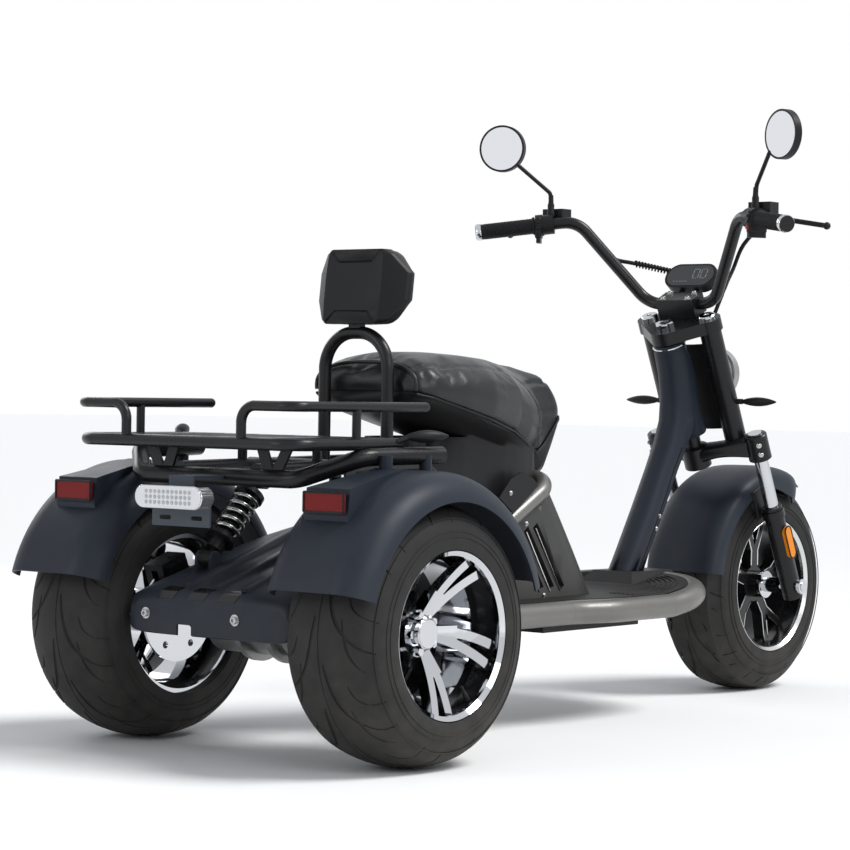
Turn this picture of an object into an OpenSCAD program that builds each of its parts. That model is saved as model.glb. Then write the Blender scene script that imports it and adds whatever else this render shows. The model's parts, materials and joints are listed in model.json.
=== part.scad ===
// Three-wheeled electric scooter: one steered front wheel, two driven rear wheels,
// a step-through deck, a long saddle with a backrest and a rear luggage rack.
// Millimetres. +X forward, +Y left, +Z up, origin on the ground at mid length.

/* [Wheels] */
// Distance between the front and rear axles
wheelbase = 1592; // [1540:4:1640]
// Distance between the middles of the rear tyres
track = 640; // [620:5:680]
// Outside diameter of every tyre
tyre_d = 476; // [460:2:484]
// Width of the rear tyres
tyre_w = 215; // [200:1:218]
// Width of the front tyre
front_tyre_w = 170; // [160:1:176]
// Diameter over the lips of every rim
rim_d = 330; // [322:1:336]
// Width over the lips of the rear rims
rim_w = 190; // [180:1:196]
// Width over the lips of the front rim
front_rim_w = 146; // [140:1:152]
// Diameter of the wheel axles
axle_d = 20; // [16:1:24]
// Spokes on every rim
spokes = 5; // [4:1:6]

/* [Steering] */
// Angle of the steering axis from upright
rake = 25; // [23:0.5:27]
// Distance between the two fork legs
leg_spacing = 257; // [252:1:266]
// How far the fork legs stand ahead of the steering axis
leg_offset = 55; // [45:1:60]
// Outside diameter of the lower fork legs
slider_d = 44; // [40:1:48]
// Outside diameter of the chromed upper fork legs
stanchion_d = 31; // [28:1:34]
// Distance between the tubes from the lower yoke to the top yoke
tube_spacing = 150; // [144:2:156]
// Diameter of those tubes
tube_d = 48; // [44:1:50]
// How far those tubes stand ahead of the steering axis
tube_offset = 56; // [52:1:62]
// Diameter of the head tube
head_d = 70; // [66:1:74]
// Diameter of the steering stem
stem_d = 32; // [28:1:34]
// Diameter of the handlebar
bar_d = 26; // [22:1:28]
// Distance between the ends of the grips
bar_w = 790; // [760:5:800]
// Height of the grips above the ground
bar_h = 1032; // [1015:1:1050]

/* [Fenders] */
// Gap between a tyre's tread and the outside of its fender's crown, at the rear
rear_fender_gap = 48; // [44:1:52]
// Gap between the front tyre's tread and the outside of its fender's crown
front_fender_gap = 28; // [24:1:32]
// Width of the rear fenders
fender_w = 234; // [230:1:238]
// Width of the front fender
front_fender_w = 190; // [186:1:196]
// Thickness of the fender shells
fender_t = 4; // [3:0.5:5]

/* [Deck and body] */
// Height of the middle of the deck rails
rail_z = 228; // [220:1:236]
// Diameter of the deck rails
rail_d = 48; // [44:1:52]
// Distance between the deck rails where the feet stand
deck_w = 410; // [390:5:430]
// Height of the saddle's top
seat_h = 735; // [725:1:745]
// Greatest width of the saddle
seat_w = 330; // [310:2:340]
// Width of the body under the saddle
body_w = 206; // [196:2:216]

/* [Rack and backrest] */
// Height of the middle of the rack's base tube
rack_z = 568; // [566:1:580]
// Width of the rack, between the middles of its side tubes
rack_w = 530; // [500:5:550]
// Height of the rack's side rails above its base
rack_rail_h = 66; // [58:1:74]
// Width of the backrest pad
pad_w = 216; // [200:2:230]
// Height of the backrest pad
pad_h = 142; // [134:1:150]
// Thickness of the backrest pad
pad_t = 64; // [58:1:72]

/* [Hidden] */
$fn = 72;
// Finer rounds for the large revolved shells
wheel_fn = 216;

// Clearances: running fits, faces that seat, and pieces that only come close
run_gap = 0.1;
seat_gap = 0.3;
near_gap = 1;

// Reach of the object behind its rear axle and ahead of its front axle
rear_reach = 278;
front_reach = tyre_d/2;
object_l = rear_reach + wheelbase + front_reach;
rear_x = rear_reach - object_l/2;
front_x = rear_x + wheelbase;
tyre_r = tyre_d/2;
rim_r = rim_d/2;
wheel_y = track/2;
rear_fender_r = tyre_r + rear_fender_gap;
front_fender_r = tyre_r + front_fender_gap;

// Colours as the photograph shows them
black_paint = [0.05, 0.05, 0.06];
black_plastic = [0.08, 0.09, 0.10];
slate_plastic = [0.13, 0.16, 0.20];
grey_paint = [0.30, 0.30, 0.29];
bright_metal = [0.80, 0.80, 0.82];
rubber_black = [0.06, 0.06, 0.07];
leather_black = [0.07, 0.07, 0.08];
red_lens = [0.45, 0.05, 0.05];
amber_lens = [0.95, 0.50, 0.05];
clear_lens = [0.90, 0.92, 0.95];

// Helpers

function unit(v) = v/norm(v);
// A point given from the rear axle, moved to the model's frame
function aft(p) = [rear_x + p.x, p.y, p.z];
function mirror_y(p) = [p.x, -p.y, p.z];
function reversed(list) = [for (i = [len(list) - 1:-1:0]) list[i]];
// A path along one side and back along the other
function both_halves(list) = concat(list, reversed([for (p = list) mirror_y(p)]));
// A point in the steering frame: forward of the axis, left, along the axis up from the front axle
axis_foot = [front_x - leg_offset*cos(rake), 0, tyre_r - leg_offset*sin(rake)];
function steer(q, y, s) = axis_foot + [q*cos(rake) - s*sin(rake), y, q*sin(rake) + s*cos(rake)];

module steer_frame() { translate(axis_foot) rotate([0, -rake, 0]) children(); }
module both_sides() { children(); mirror([0, 1, 0]) children(); }
// Turns a solid of revolution made about Z so that it spins about Y
module about_y() { rotate([90, 0, 0]) children(); }

module rod(a, b, d) {
    v = b - a;
    translate(a) rotate([0, acos(v.z/norm(v)), atan2(v.y, v.x)]) cylinder(d = d, h = norm(v));
}

function bend_angle(pts, i) = acos(max(-1, min(1, unit(pts[i] - pts[i - 1])*unit(pts[i + 1] - pts[i]))));
function bend_cut(pts, i, r) =
    i == 0 || i == len(pts) - 1 ? 0 : r*tan(bend_angle(pts, i)/2);

// A tube through a list of points, every corner bent to one radius.
// The elbows stand a hair proud and the straights reach a little way into them.
elbow_swell = 0.3;
elbow_lap = 1;
module bent_tube(pts, d, r) {
    last = len(pts) - 1;
    for (i = [0:last - 1]) {
        u = unit(pts[i + 1] - pts[i]);
        from = i == 0 ? 0 : bend_cut(pts, i, r) - elbow_lap;
        to = i + 1 == last ? 0 : bend_cut(pts, i + 1, r) - elbow_lap;
        rod(pts[i] + u*from, pts[i + 1] - u*to, d);
    }
    for (i = [1:last - 1]) if (bend_angle(pts, i) > 0.5) {
        u = unit(pts[i] - pts[i - 1]);
        n = unit(cross(u, pts[i + 1] - pts[i]));
        e = cross(u, n);
        c = pts[i] - u*bend_cut(pts, i, r) - e*r;
        multmatrix([[e.x, u.x, n.x, c.x], [e.y, u.y, n.y, c.y], [e.z, u.z, n.z, c.z], [0, 0, 0, 1]])
            rotate_extrude(angle = bend_angle(pts, i)) translate([r, 0]) circle(d = d + elbow_swell);
    }
}

// A flat bar with round ends
module oblong(l, w) {
    for (e = [-1, 1]) translate([e*(l - w)/2, 0]) circle(d = w);
    square([l - w, w], center = true);
}

// A turned leaf shape, nearly pointed at both ends, from one point to another
module leaf(a, b, d) {
    v = b - a;
    l = norm(v);
    arc_r = (l*l/4 + d*d/4)/d;
    translate(a) rotate([0, acos(v.z/l), atan2(v.y, v.x)]) rotate_extrude() intersection() {
        translate([d/2 - arc_r, l/2]) circle(r = arc_r, $fn = wheel_fn);
        translate([0, 0.04*l]) square([d, 0.92*l]);
    }
}

module cylinder_z(d, z0, z1) { translate([0, 0, z0]) cylinder(d = d, h = z1 - z0); }

// A closed skin over rings of equal count, each ring counter-clockwise seen from the last one
module loft(rings) {
    n = len(rings[0]);
    m = len(rings);
    polyhedron(
        points = [for (ring = rings) each ring],
        faces = [
            [for (k = [0:n - 1]) k],
            [for (k = [n - 1:-1:0]) (m - 1)*n + k],
            for (i = [0:m - 2], k = [0:n - 1], half = [0, 1])
                let (a = i*n + k, b = i*n + (k + 1)%n, c = a + n, d = b + n)
                half == 0 ? [a, c, d] : [a, d, b]
        ]
    );
}

function power(v, p) = sign(v)*pow(abs(v), p);
// A squarish oval across the X axis; roundness 2 is an ellipse, more is boxier
function oval_yz(x, half_w, z0, z1, top, bottom, n) = [
    for (k = [0:n - 1]) let (a = 360*(k + 0.5)/n, p = sin(a) > 0 ? 2/top : 2/bottom)
    [x, half_w*power(cos(a), p), (z0 + z1)/2 + (z1 - z0)/2*power(sin(a), p)]
];
function oval_xy(z, x0, x1, half_w, roundness, n) = [
    for (k = [0:n - 1]) let (a = 360*(k + 0.5)/n)
    [(x0 + x1)/2 + (x1 - x0)/2*power(cos(a), 2/roundness), half_w*power(sin(a), 2/roundness), z]
];

// A round skin along a list of points, with the ring turned to each point's direction
function path_dir(pts, i) = unit(pts[min(i + 1, len(pts) - 1)] - pts[max(i - 1, 0)]);
function path_side(u) = unit(cross(u, abs(u.z) < 0.9 ? [0, 0, 1] : [1, 0, 0]));
module hose(pts, d, n = 8) {
    loft([for (i = [0:len(pts) - 1]) let (u = path_dir(pts, i), a = path_side(u), b = cross(u, a))
        [for (k = [0:n - 1]) pts[i] + (a*cos(360*k/n) + b*sin(360*k/n))*d/2]]);
}
// A smooth curve through points chosen by hand
function blend4(a, b, c, d, t) =
    0.5*(2*b + (c - a)*t + (2*a - 5*b + 4*c - d)*t*t + (3*b - a - 3*c + d)*t*t*t);
function smooth(pts, steps) = let (last = len(pts) - 1) [
    for (i = [0:last - 1], j = [0:steps - 1])
        blend4(pts[max(i - 1, 0)], pts[i], pts[i + 1], pts[min(i + 2, last)], j/steps),
    pts[last]
];

// Wheels

bead_r = rim_r - 13;
barrel_r = bead_r - 6;
lip_t = 6;

module tyre_profile(width, seat_w) {
    shoulder_r = 75;
    crown_r = 210;
    shoulder_y = width/2 - shoulder_r;
    shoulder_x = tyre_r - shoulder_r + 2;
    difference() {
        intersection() {
            translate([tyre_r - crown_r, 0]) circle(r = crown_r);
            union() {
                for (s = [-1, 1]) translate([shoulder_x, s*shoulder_y]) circle(r = shoulder_r);
                translate([bead_r, -shoulder_y]) square([tyre_r - bead_r, 2*shoulder_y]);
            }
        }
        translate([0, -width]) square([bead_r + seat_gap, 2*width]);
        // rim lips
        lip_y = seat_w/2 - lip_t - seat_gap;
        for (s = [-1, 1])
            translate([0, s*(lip_y + width/2) - width/2]) square([rim_r + seat_gap, width]);
    }
}

module tyre(width, seat_w) {
    color(rubber_black) about_y() rotate_extrude($fn = wheel_fn) tyre_profile(width, seat_w);
}

// The rolled hoop that carries the tyre, with a lip at each edge
module rim_barrel(width) {
    lip_in = 4;
    well_in = 10;
    about_y() rotate_extrude() {
        translate([barrel_r, -width/2 + lip_t]) square([bead_r - barrel_r, width - 2*lip_t]);
        for (s = [-1, 1]) translate([barrel_r - lip_in, s*(width - lip_t)/2 - lip_t/2])
            square([rim_r - barrel_r + lip_in, lip_t]);
        translate([barrel_r - well_in, -width/5]) square([well_in, width/2.5]);
    }
}

// One curved bar of a split spoke, seen along the axle
module spoke_bar(lean, bar_w, sweep_r) {
    rotate(lean) intersection() {
        translate([0, -sweep_r]) difference() {
            circle(r = sweep_r + bar_w/2);
            circle(r = sweep_r - bar_w/2);
        }
        translate([0, -rim_r/2]) square([rim_r, rim_r]);
    }
}

hub_r = 46;
hub_face = 50;
hub_flat = 30;
lug_pcd = 66;
disc_r = 92;
disc_t = 5;
disc_y = rim_w/2 - 12;
front_disc_y = front_rim_w/2 - 12;

// Rear rim, outer face towards -Y: deep dish, split spokes that run out from the hub to the lip
module rear_rim() {
    spoke_in = 6;
    spoke_out = rim_w/2 - 9;
    spoke_t = 20;
    sweep_r = 230;
    color(bright_metal) difference() {
        union() {
            rim_barrel(rim_w);
            intersection() {
                about_y() rotate_extrude() polygon([
                    [hub_r - 12, spoke_in], [barrel_r + 2, spoke_out - spoke_t],
                    [barrel_r + 2, spoke_out], [hub_r - 12, spoke_in + spoke_t + 8]
                ]);
                about_y() linear_extrude(rim_w) difference() {
                    for (i = [0:spokes - 1]) rotate(i*360/spokes) {
                        for (lean = [-7.5, 7.5]) spoke_bar(lean, 17, sweep_r);
                        translate([hub_r - 14, -15]) square([44, 26]);
                    }
                    circle(r = hub_r - 12.5);
                }
            }
            // hub barrel, its cap and the wheel nuts round it
            about_y() cylinder_z(2*hub_r - 8, disc_t - disc_y, hub_flat);
            about_y() translate([0, 0, hub_flat - 5]) cylinder(r1 = 28, r2 = 25, h = hub_face - hub_flat + 5);
            for (i = [0:spokes - 1]) rotate([0, (i + 0.5)*360/spokes, 0])
                about_y() translate([lug_pcd/2, 0, hub_flat - 8]) cylinder(d = 15, h = 20, $fn = 6);
            // brake disc on the inner face
            about_y() translate([0, 0, -disc_y]) difference() {
                cylinder(r = disc_r, h = disc_t);
                for (a = [0:60:300]) rotate(a) translate([68, 0, -1]) cylinder(d = 14, h = disc_t + 2);
            }
        }
        about_y() translate([0, 0, -rim_w]) cylinder(d = axle_d + 2*run_gap, h = rim_w + 20);
    }
}

// Front rim: forked spokes set near the middle, brake disc on the left
module front_rim() {
    spoke_t = 26;
    spoke_y = 6;
    fork_r = 76;
    fork_angle = 24;
    arm_l = 78;
    arm_w = 16;
    color(black_paint) translate([front_x, 0, tyre_r]) difference() {
        union() {
            rim_barrel(front_rim_w);
            about_y() translate([0, 0, spoke_y]) linear_extrude(spoke_t) difference() {
                union() {
                    circle(r = hub_r - 6);
                    for (i = [0:spokes - 1]) rotate(i*360/spokes + 18) {
                        translate([20, -13]) square([62, 26]);
                        for (s = [-1, 1]) translate([fork_r, s*arm_w/4]) rotate(s*fork_angle)
                            translate([0, -arm_w/2]) square([arm_l, arm_w]);
                    }
                }
                difference() { circle(r = rim_d); circle(r = barrel_r + 2); }
            }
            about_y() cylinder_z(60, disc_t - front_disc_y, front_disc_y - 4);
            about_y() translate([0, 0, -front_disc_y]) difference() {
                cylinder(r = disc_r, h = disc_t);
                for (a = [0:60:300]) rotate(a) translate([66, 0, -1]) cylinder(d = 14, h = disc_t + 2);
            }
        }
        about_y() translate([0, 0, -rim_w]) cylinder(d = axle_d + 2*run_gap, h = 2*rim_w);
    }
}

module front_tyre() { translate([front_x, 0, tyre_r]) tyre(front_tyre_w, front_rim_w); }
module rear_tyre_left() { translate([rear_x, wheel_y, tyre_r]) tyre(tyre_w, rim_w); }
module rear_tyre_right() { translate([rear_x, -wheel_y, tyre_r]) tyre(tyre_w, rim_w); }
module rear_rim_left() { translate([rear_x, wheel_y, tyre_r]) mirror([0, 1, 0]) rear_rim(); }
module rear_rim_right() { translate([rear_x, -wheel_y, tyre_r]) rear_rim(); }

// Frame, deck and body

head_low = 402;
head_high = 622;
mat_top = rail_z + rail_d/2;
deck_rear = 440;
deck_rise_x = 1000;
deck_front = 1205;
deck_rise = 30;
rear_deck_w = deck_w - 60;
pan_t = 4;
pan_z = rail_z - 10;
foot_z = mat_top + 34;

// Steering head and the tube that runs down from it to the deck
module down_tube() {
    // height above the foot, how far the middle lies ahead of the rear axle, half depth, half width
    sections = [
        [0, 1131, 40, 34], [42, 1156, 39, 33], [132, 1211, 38, 33], [213, 1259, 38, 33], [270, 1293, 40, 34],
        [320, 1318, 45, 35], [370, 1325, 48, 36], [420, 1314, 45, 36], [470, 1292, 39, 36]
    ];
    color(slate_plastic) difference() {
        union() {
            loft([for (c = sections) oval_xy(foot_z + seat_gap + c[0], rear_x + c[1] - c[2],
                rear_x + c[1] + c[2], c[3], 2.4, 28)]);
            steer_frame() cylinder_z(head_d, head_low, head_high);
        }
        steer_frame() cylinder_z(stem_d + 2*run_gap, head_low - 200, head_high + 200);
    }
}

// Moulded block on the deck that the down tube stands on
module foot_block() {
    foot_l = 150;
    foot_w = 100;
    flare = 26;
    foot_x = 1081;
    h = foot_z - mat_top - seat_gap;
    color(black_plastic) difference() {
        translate(aft([foot_x, 0, mat_top + seat_gap])) intersection() {
            rotate([90, 0, 0]) translate([0, 0, -foot_w]) linear_extrude(2*foot_w)
                polygon([[-2*flare, 0], [-flare, 0.3*h], [0, h], [foot_l, h], [foot_l, 0]]);
            rotate([90, 0, 90]) translate([0, 0, -foot_l]) linear_extrude(3*foot_l)
                polygon([[-foot_w/2 - flare, 0], [-foot_w/2, h], [foot_w/2, h], [foot_w/2 + flare, 0]]);
        }
        deck_sheet(pan_z, mat_top + seat_gap, 0);
        deck_rail(seat_gap);
    }
}

// Half of the deck's outline as the rail's middle line runs, from the rear to the front
rail_half = [[deck_rear, -rear_deck_w/2, 0], [700, -rear_deck_w/2, 0], [800, -deck_w/2, 0],
    [deck_rise_x, -deck_w/2, 0], [deck_front, -deck_w/2, deck_rise]];
rail_path = [for (p = both_halves(rail_half)) aft(p + [0, 0, rail_z])];
rail_bend = 170;
rise_angle = atan2(deck_rise, deck_front - deck_rise_x);

module deck_rail(grow) { bent_tube(rail_path, rail_d + 2*grow, rail_bend); }

module deck_outline(inset) {
    corner = rail_bend - inset;
    front = rear_x + deck_front - rail_bend;
    polygon([for (p = rail_half) if (p.x < deck_front) [rear_x + p.x, p.y + inset],
        [front, -deck_w/2 + inset], [front, deck_w/2 - inset],
        for (p = reversed(rail_half)) if (p.x < deck_front) [rear_x + p.x, -p.y - inset]]);
    for (s = [-1, 1]) translate([front, s*(deck_w/2 - rail_bend)]) circle(r = corner);
    translate([front, -deck_w/2 + rail_bend]) square([corner, deck_w - 2*rail_bend]);
}

// A sheet over the deck between two heights, level at first and rising with the rail in front
module deck_sheet(z0, z1, inset) {
    span = 500;
    t = z1 - z0;
    rise = span*tan(rise_angle);
    intersection() {
        linear_extrude(2*span) deck_outline(inset);
        union() {
            translate([rear_x + deck_rise_x - 2*span, -span, z0]) cube([2*span, 2*span, t]);
            translate([rear_x + deck_rise_x, span, z0]) rotate([90, 0, 0]) linear_extrude(2*span)
                polygon([[-1, 0], [0, 0], [span, rise], [span, t + rise], [0, t], [-1, t]]);
        }
    }
}

// Perimeter rail, floor pan and the cross tube that carries the swing arm
lug_y = 134;
lug_r = 14;
module deck_frame() {
    color(grey_paint) {
        deck_rail(0);
        deck_sheet(pan_z, pan_z + pan_t, rail_d/4);
        cross_tube(0);
        // lugs for the swing arm's pivot tube
        both_sides() translate(aft([pivot_x - lug_r, lug_y, rail_z - lug_r]))
            cube([deck_rear - pivot_x + lug_r, 8, 2*lug_r]);
    }
}
module cross_tube(grow) {
    rod(aft([deck_rear, -rear_deck_w/2, rail_z]), aft([deck_rear, rear_deck_w/2, rail_z]), cross_d + 2*grow);
}

module deck_mat() {
    color(rubber_black) difference() {
        deck_sheet(pan_z + pan_t + seat_gap, mat_top, rail_d/4 + 2);
        deck_rail(seat_gap);
        cross_tube(seat_gap);
    }
}

module under_tray() {
    tray_x = 640;
    tray_l = 330;
    tray_w = deck_w - 120;
    tray_h = 30;
    wall = 8;
    color(black_plastic) translate([rear_x + tray_x, -tray_w/2, pan_z - tray_h - seat_gap]) difference() {
        cube([tray_l, tray_w, tray_h]);
        translate([wall, wall, wall]) cube([tray_l - 2*wall, tray_w - 2*wall, tray_h]);
    }
}

// Body under the saddle: a leaning shell in two halves with slanted louvres and the battery inside
body_front_low = 905;
body_top = 500;
body_rear = 500;
body_wall = 22;
body_low = mat_top + seat_gap;
body_lean = 34;
body_front_top = body_front_low - (body_top - body_low)*tan(body_lean);
cavity_rear = body_rear + 30;
cavity_front = body_front_top + 20;
cavity_h = 112;

// Seat frame: a hoop round the body's nose that falls back to the uprights
hoop_d = 34;
hoop_y = body_w/2 - 12;
hoop_front = 746;
hoop_front_z = 490;
hoop_rear = 470;
hoop_slope = 28;
hoop_rear_z = hoop_front_z - (hoop_front - hoop_rear)*tan(hoop_slope);
cross_d = rail_d - 8;

module body_solid() {
    // height, share of the width
    rows = [[body_low, 1], [body_low + 90, 0.97], [body_low + 160, 0.93], [body_top, 0.86]];
    loft([for (c = rows) oval_xy(c[0], rear_x + body_rear,
        rear_x + body_front_low - (c[0] - body_low)*tan(body_lean), c[1]*body_w/2, 4.2, 32)]);
}

module louvres() {
    slot_x = 683;
    slot_pitch = 35;
    slot_w = 18;
    slot_l = 140;
    slot_more = 8;
    for (i = [0:2]) translate(aft([slot_x + i*slot_pitch, -body_w, body_low + 12]))
        rotate([0, -body_lean, 0]) cube([slot_w, 2*body_w, slot_l + i*slot_more]);
}

// All that lies above the plane of the hoop
module above_hoop(lift) {
    span = 700;
    lap = 6;
    translate(aft([hoop_front, -body_w, hoop_front_z + lap + lift])) rotate([0, -hoop_slope, 0])
        translate([-span + 100, 0, 0]) cube([span, 2*body_w, span/2]);
}

module body_shell() {
    difference() {
        body_solid();
        translate([rear_x + cavity_rear, -body_w/2 + body_wall, body_low - 1])
            cube([cavity_front - cavity_rear, body_w - 2*body_wall, cavity_h]);
        louvres();
        // the sloping hoop of the seat frame lies along the top edge
        seat_frame_tubes(2*seat_gap);
        above_hoop(0);
    }
}

// One side of the parting plane down the body's middle
module half_space(side) {
    span = 1200;
    translate([rear_x, side > 0 ? seat_gap/2 : -seat_gap/2 - span, 0]) cube([span, span, span]);
}
module body_left() { color(grey_paint) intersection() { body_shell(); half_space(1); } }
module body_right() { color(grey_paint) intersection() { body_shell(); half_space(-1); } }

module battery_pack() {
    battery_w = 2*(hoop_y - hoop_d/2) - 4*near_gap;
    color(black_plastic) translate([rear_x + cavity_rear + near_gap, -battery_w/2, body_low])
        cube([cavity_front - cavity_rear - 2*near_gap, battery_w, cavity_h - 2 - near_gap]);
}

module seat_hoop(grow) {
    half = [[hoop_rear, -hoop_y, hoop_rear_z], [hoop_front, -hoop_y, hoop_front_z]];
    bent_tube([for (p = both_halves(half)) aft(p)], hoop_d + 2*grow, hoop_y - 26);
}
module seat_frame_tubes(grow) {
    upright_d = hoop_d - 3;
    seat_hoop(grow);
    both_sides() {
        rod(aft([hoop_rear, hoop_y, hoop_rear_z]), aft([deck_rear, hoop_y, rail_z]), upright_d + 2*grow);
        // cast knuckle where the upright meets the hoop
        translate(aft([hoop_rear, hoop_y, hoop_rear_z])) sphere(d = hoop_d + 5 + 2*grow);
    }
}
module seat_frame() {
    color(grey_paint) difference() {
        seat_frame_tubes(0);
        cross_tube(seat_gap);
        // floor pan and mat pass in front of the uprights
        translate(aft([deck_rear, -deck_w, 0])) cube([100, 2*deck_w, mat_top + seat_gap]);
    }
}

// Saddle: one body parted by a sloping seam into the pan below and the cushion above
seat_rear = 250;
seam_rear_z = 662;
seam_slope = 13.3;
// lowest point of the seam, from which it rises round the nose
seam_low_x = 745;
seam_low_z = 546;
seam_rise = 31;
skirt_top = 575;

module seat_solid() {
    // place along the saddle, share of its width, height of the underside, drop of the top
    rows = [
        [0, 0.62, 642, 40], [8, 0.76, 624, 14], [40, 0.90, 612, 2], [130, 0.98, 590, 0],
        [210, 1.00, 570, 3], [310, 0.90, 547, 8], [400, 0.64, 527, 18], [470, 0.38, 511, 24],
        [530, 0.25, 497, 29], [552, 0.20, 499, 34], [580, 0.15, 540, 48], [605, 0.10, 582, 74],
        [617, 0.04, 614, 100]
    ];
    loft([for (c = rows)
        oval_yz(rear_x + seat_rear + c[0], c[1]*seat_w/2, c[2], seat_h - c[3], 2.1, 2.3, 36)]);
}

module above_seam(lift) {
    span = 1000;
    intersection() {
        translate(aft([seat_rear, -seat_w, seam_rear_z + lift])) rotate([0, seam_slope, 0])
            translate([-span/2, 0, 0]) cube([2*span, 2*seat_w, span]);
        translate(aft([seam_low_x, -seat_w, seam_low_z + lift])) rotate([0, -seam_rise, 0])
            translate([-span, 0, 0]) cube([2*span, 2*seat_w, span]);
    }
}

// Pan under the cushion with a skirt that closes down to the seat frame
module seat_pan() {
    skirt_w = body_w - 44;
    skirt_rear = seat_rear + 60;
    skirt_front = hoop_front - 14;
    color(black_plastic) difference() {
        union() {
            seat_solid();
            intersection() {
                loft([for (z = [body_low + cavity_h, skirt_top])
                    oval_xy(z, rear_x + skirt_rear, rear_x + skirt_front, skirt_w/2, 4.2, 32)]);
                above_hoop(seat_gap);
            }
        }
        above_seam(-seat_gap);
        seat_frame_tubes(seat_gap);
        long_tubes(seat_gap);
    }
}

module seat_cushion() { color(leather_black) intersection() { seat_solid(); above_seam(0); } }

// Rear frame: two long tubes, and the loop that spans the fenders
long_y = 92;
long_d = 28;
long_z = 525;
stay_d = 32;
stay_z = tyre_r + rear_fender_r + stay_d/2 + 9;
loop_x = -150;
loop_z = stay_z - 44;
stay_end = 115;
stay_y = wheel_y - 20;
shock_y = 104;
shock_top = [72, shock_y, long_z - 36];
shock_foot = [-62, shock_y, 350];
eye_d = 28;
eye_w = 28;

module rear_loop(grow) {
    half = [[stay_end, -stay_y, stay_z], [-70, -stay_y + 25, stay_z - 3], [loop_x, -190, loop_z]];
    bent_tube([for (p = both_halves(half)) aft(p)], stay_d + 2*grow, 50);
}

module long_tubes(grow) {
    path = [[462, long_y, 341], [330, long_y, long_z], [loop_x, long_y, long_z - 8]];
    both_sides() bent_tube([for (p = path) aft(p)], long_d + 2*grow, 60);
}

module shock_ears(eye, up) {
    plate_t = 6;
    for (s = [-1, 1]) translate(aft([eye.x, eye.y + s*(eye_w/2 + near_gap/2 + plate_t/2), eye.z]))
        rotate([90, 0, 0]) translate([0, 0, -plate_t/2]) linear_extrude(plate_t) {
            circle(d = eye_d);
            translate([-eye_d/2, min(0, up)]) square([eye_d, abs(up)]);
        }
}

module rear_frame() {
    color(black_paint) difference() {
        union() {
            rear_loop(0);
            long_tubes(0);
            both_sides() shock_ears(shock_top, 34);
            rod(aft([shock_top.x, -shock_y - 22, long_z]), aft([shock_top.x, shock_y + 22, long_z]), 20);
        }
        seat_frame_tubes(seat_gap);
    }
}

// Backrest
back_x = 228;
back_bar_d = 24;
back_leg_y = long_y - 14;
back_top = 772;
pad_low = 788;
pad_x = 214;
pad_lean = 7;

module backrest_bar() {
    stem_w = 28;
    stem_t = 16;
    stem_h = pad_low - back_top - seat_gap;
    half = [[back_x, -back_leg_y, long_z], [back_x, -back_leg_y, back_top]];
    color(black_paint) difference() {
        union() {
            bent_tube([for (p = both_halves(half)) aft(p)], back_bar_d, back_leg_y - 8);
            // stem that carries the pad
            translate(aft([back_x - stem_t/2, -stem_w/2, back_top])) cube([stem_t, stem_w, stem_h]);
        }
        long_tubes(seat_gap);
    }
}

// Pad with a flat back whose sides fold forward to an eight-sided rim
module backrest_pad() {
    // half width at the flat back and at the rim, height, how far the rim lies ahead of the back
    corners = [[0.32, 0.50, -0.18, 30], [0.32, 0.50, 0.18, 30], [0.31, 0.36, 0.44, 9], [0.27, 0.29, 0.5, 3]];
    low = [for (c = reversed([corners[2], corners[3]])) [c[0], c[1], -c[2], c[3]]];
    right = concat(low, corners);
    outline = concat(right, reversed([for (c = right) [-c[0], -c[1], c[2], c[3]]]));
    // share of the way out to the rim, share of its fold, share of the outline kept, place ahead of the back
    rows = [[0, 0, 1, 0], [1, 1, 1, 0], [1, 1, 1.03, 10], [1, 0.8, 1, 26], [1, 0, 0.88, pad_t]];
    mid_z = pad_low + pad_h/2;
    color(leather_black) loft([for (r = rows) [for (c = outline)
        let (z = c[2]*pad_h*min(1, r[2]), y = (c[0] + r[0]*(c[1] - c[0]))*pad_w*r[2])
        [rear_x + pad_x + r[1]*c[3] + r[3] + z*tan(pad_lean), y, mid_z + z]]]);
}

// Luggage rack
rack_d = 22;
rack_rail_d = 18;
rack_rear = -242;
rack_front = 34;
rail_front = 110;
rack_post = -80;
hoop_in = 140;
slat_w = 40;
slat_t = 4;
rack_top = rack_z + rack_d/2;

module rack_base_tube(grow) {
    half = [[rack_front, -rack_w/2, rack_z], [rack_rear, -rack_w/2, rack_z]];
    bent_tube([for (p = both_halves(half)) aft(p)], rack_d + 2*grow, 45);
}
module rack_base() {
    rack_base_tube(0);
    rod(aft([rack_front, -rack_w/2, rack_z]), aft([rack_front, rack_w/2, rack_z]), rack_d);
    rod(aft([loop_x, -rack_w/2, rack_z]), aft([loop_x, rack_w/2, rack_z]), rack_rail_d);
}

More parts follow.
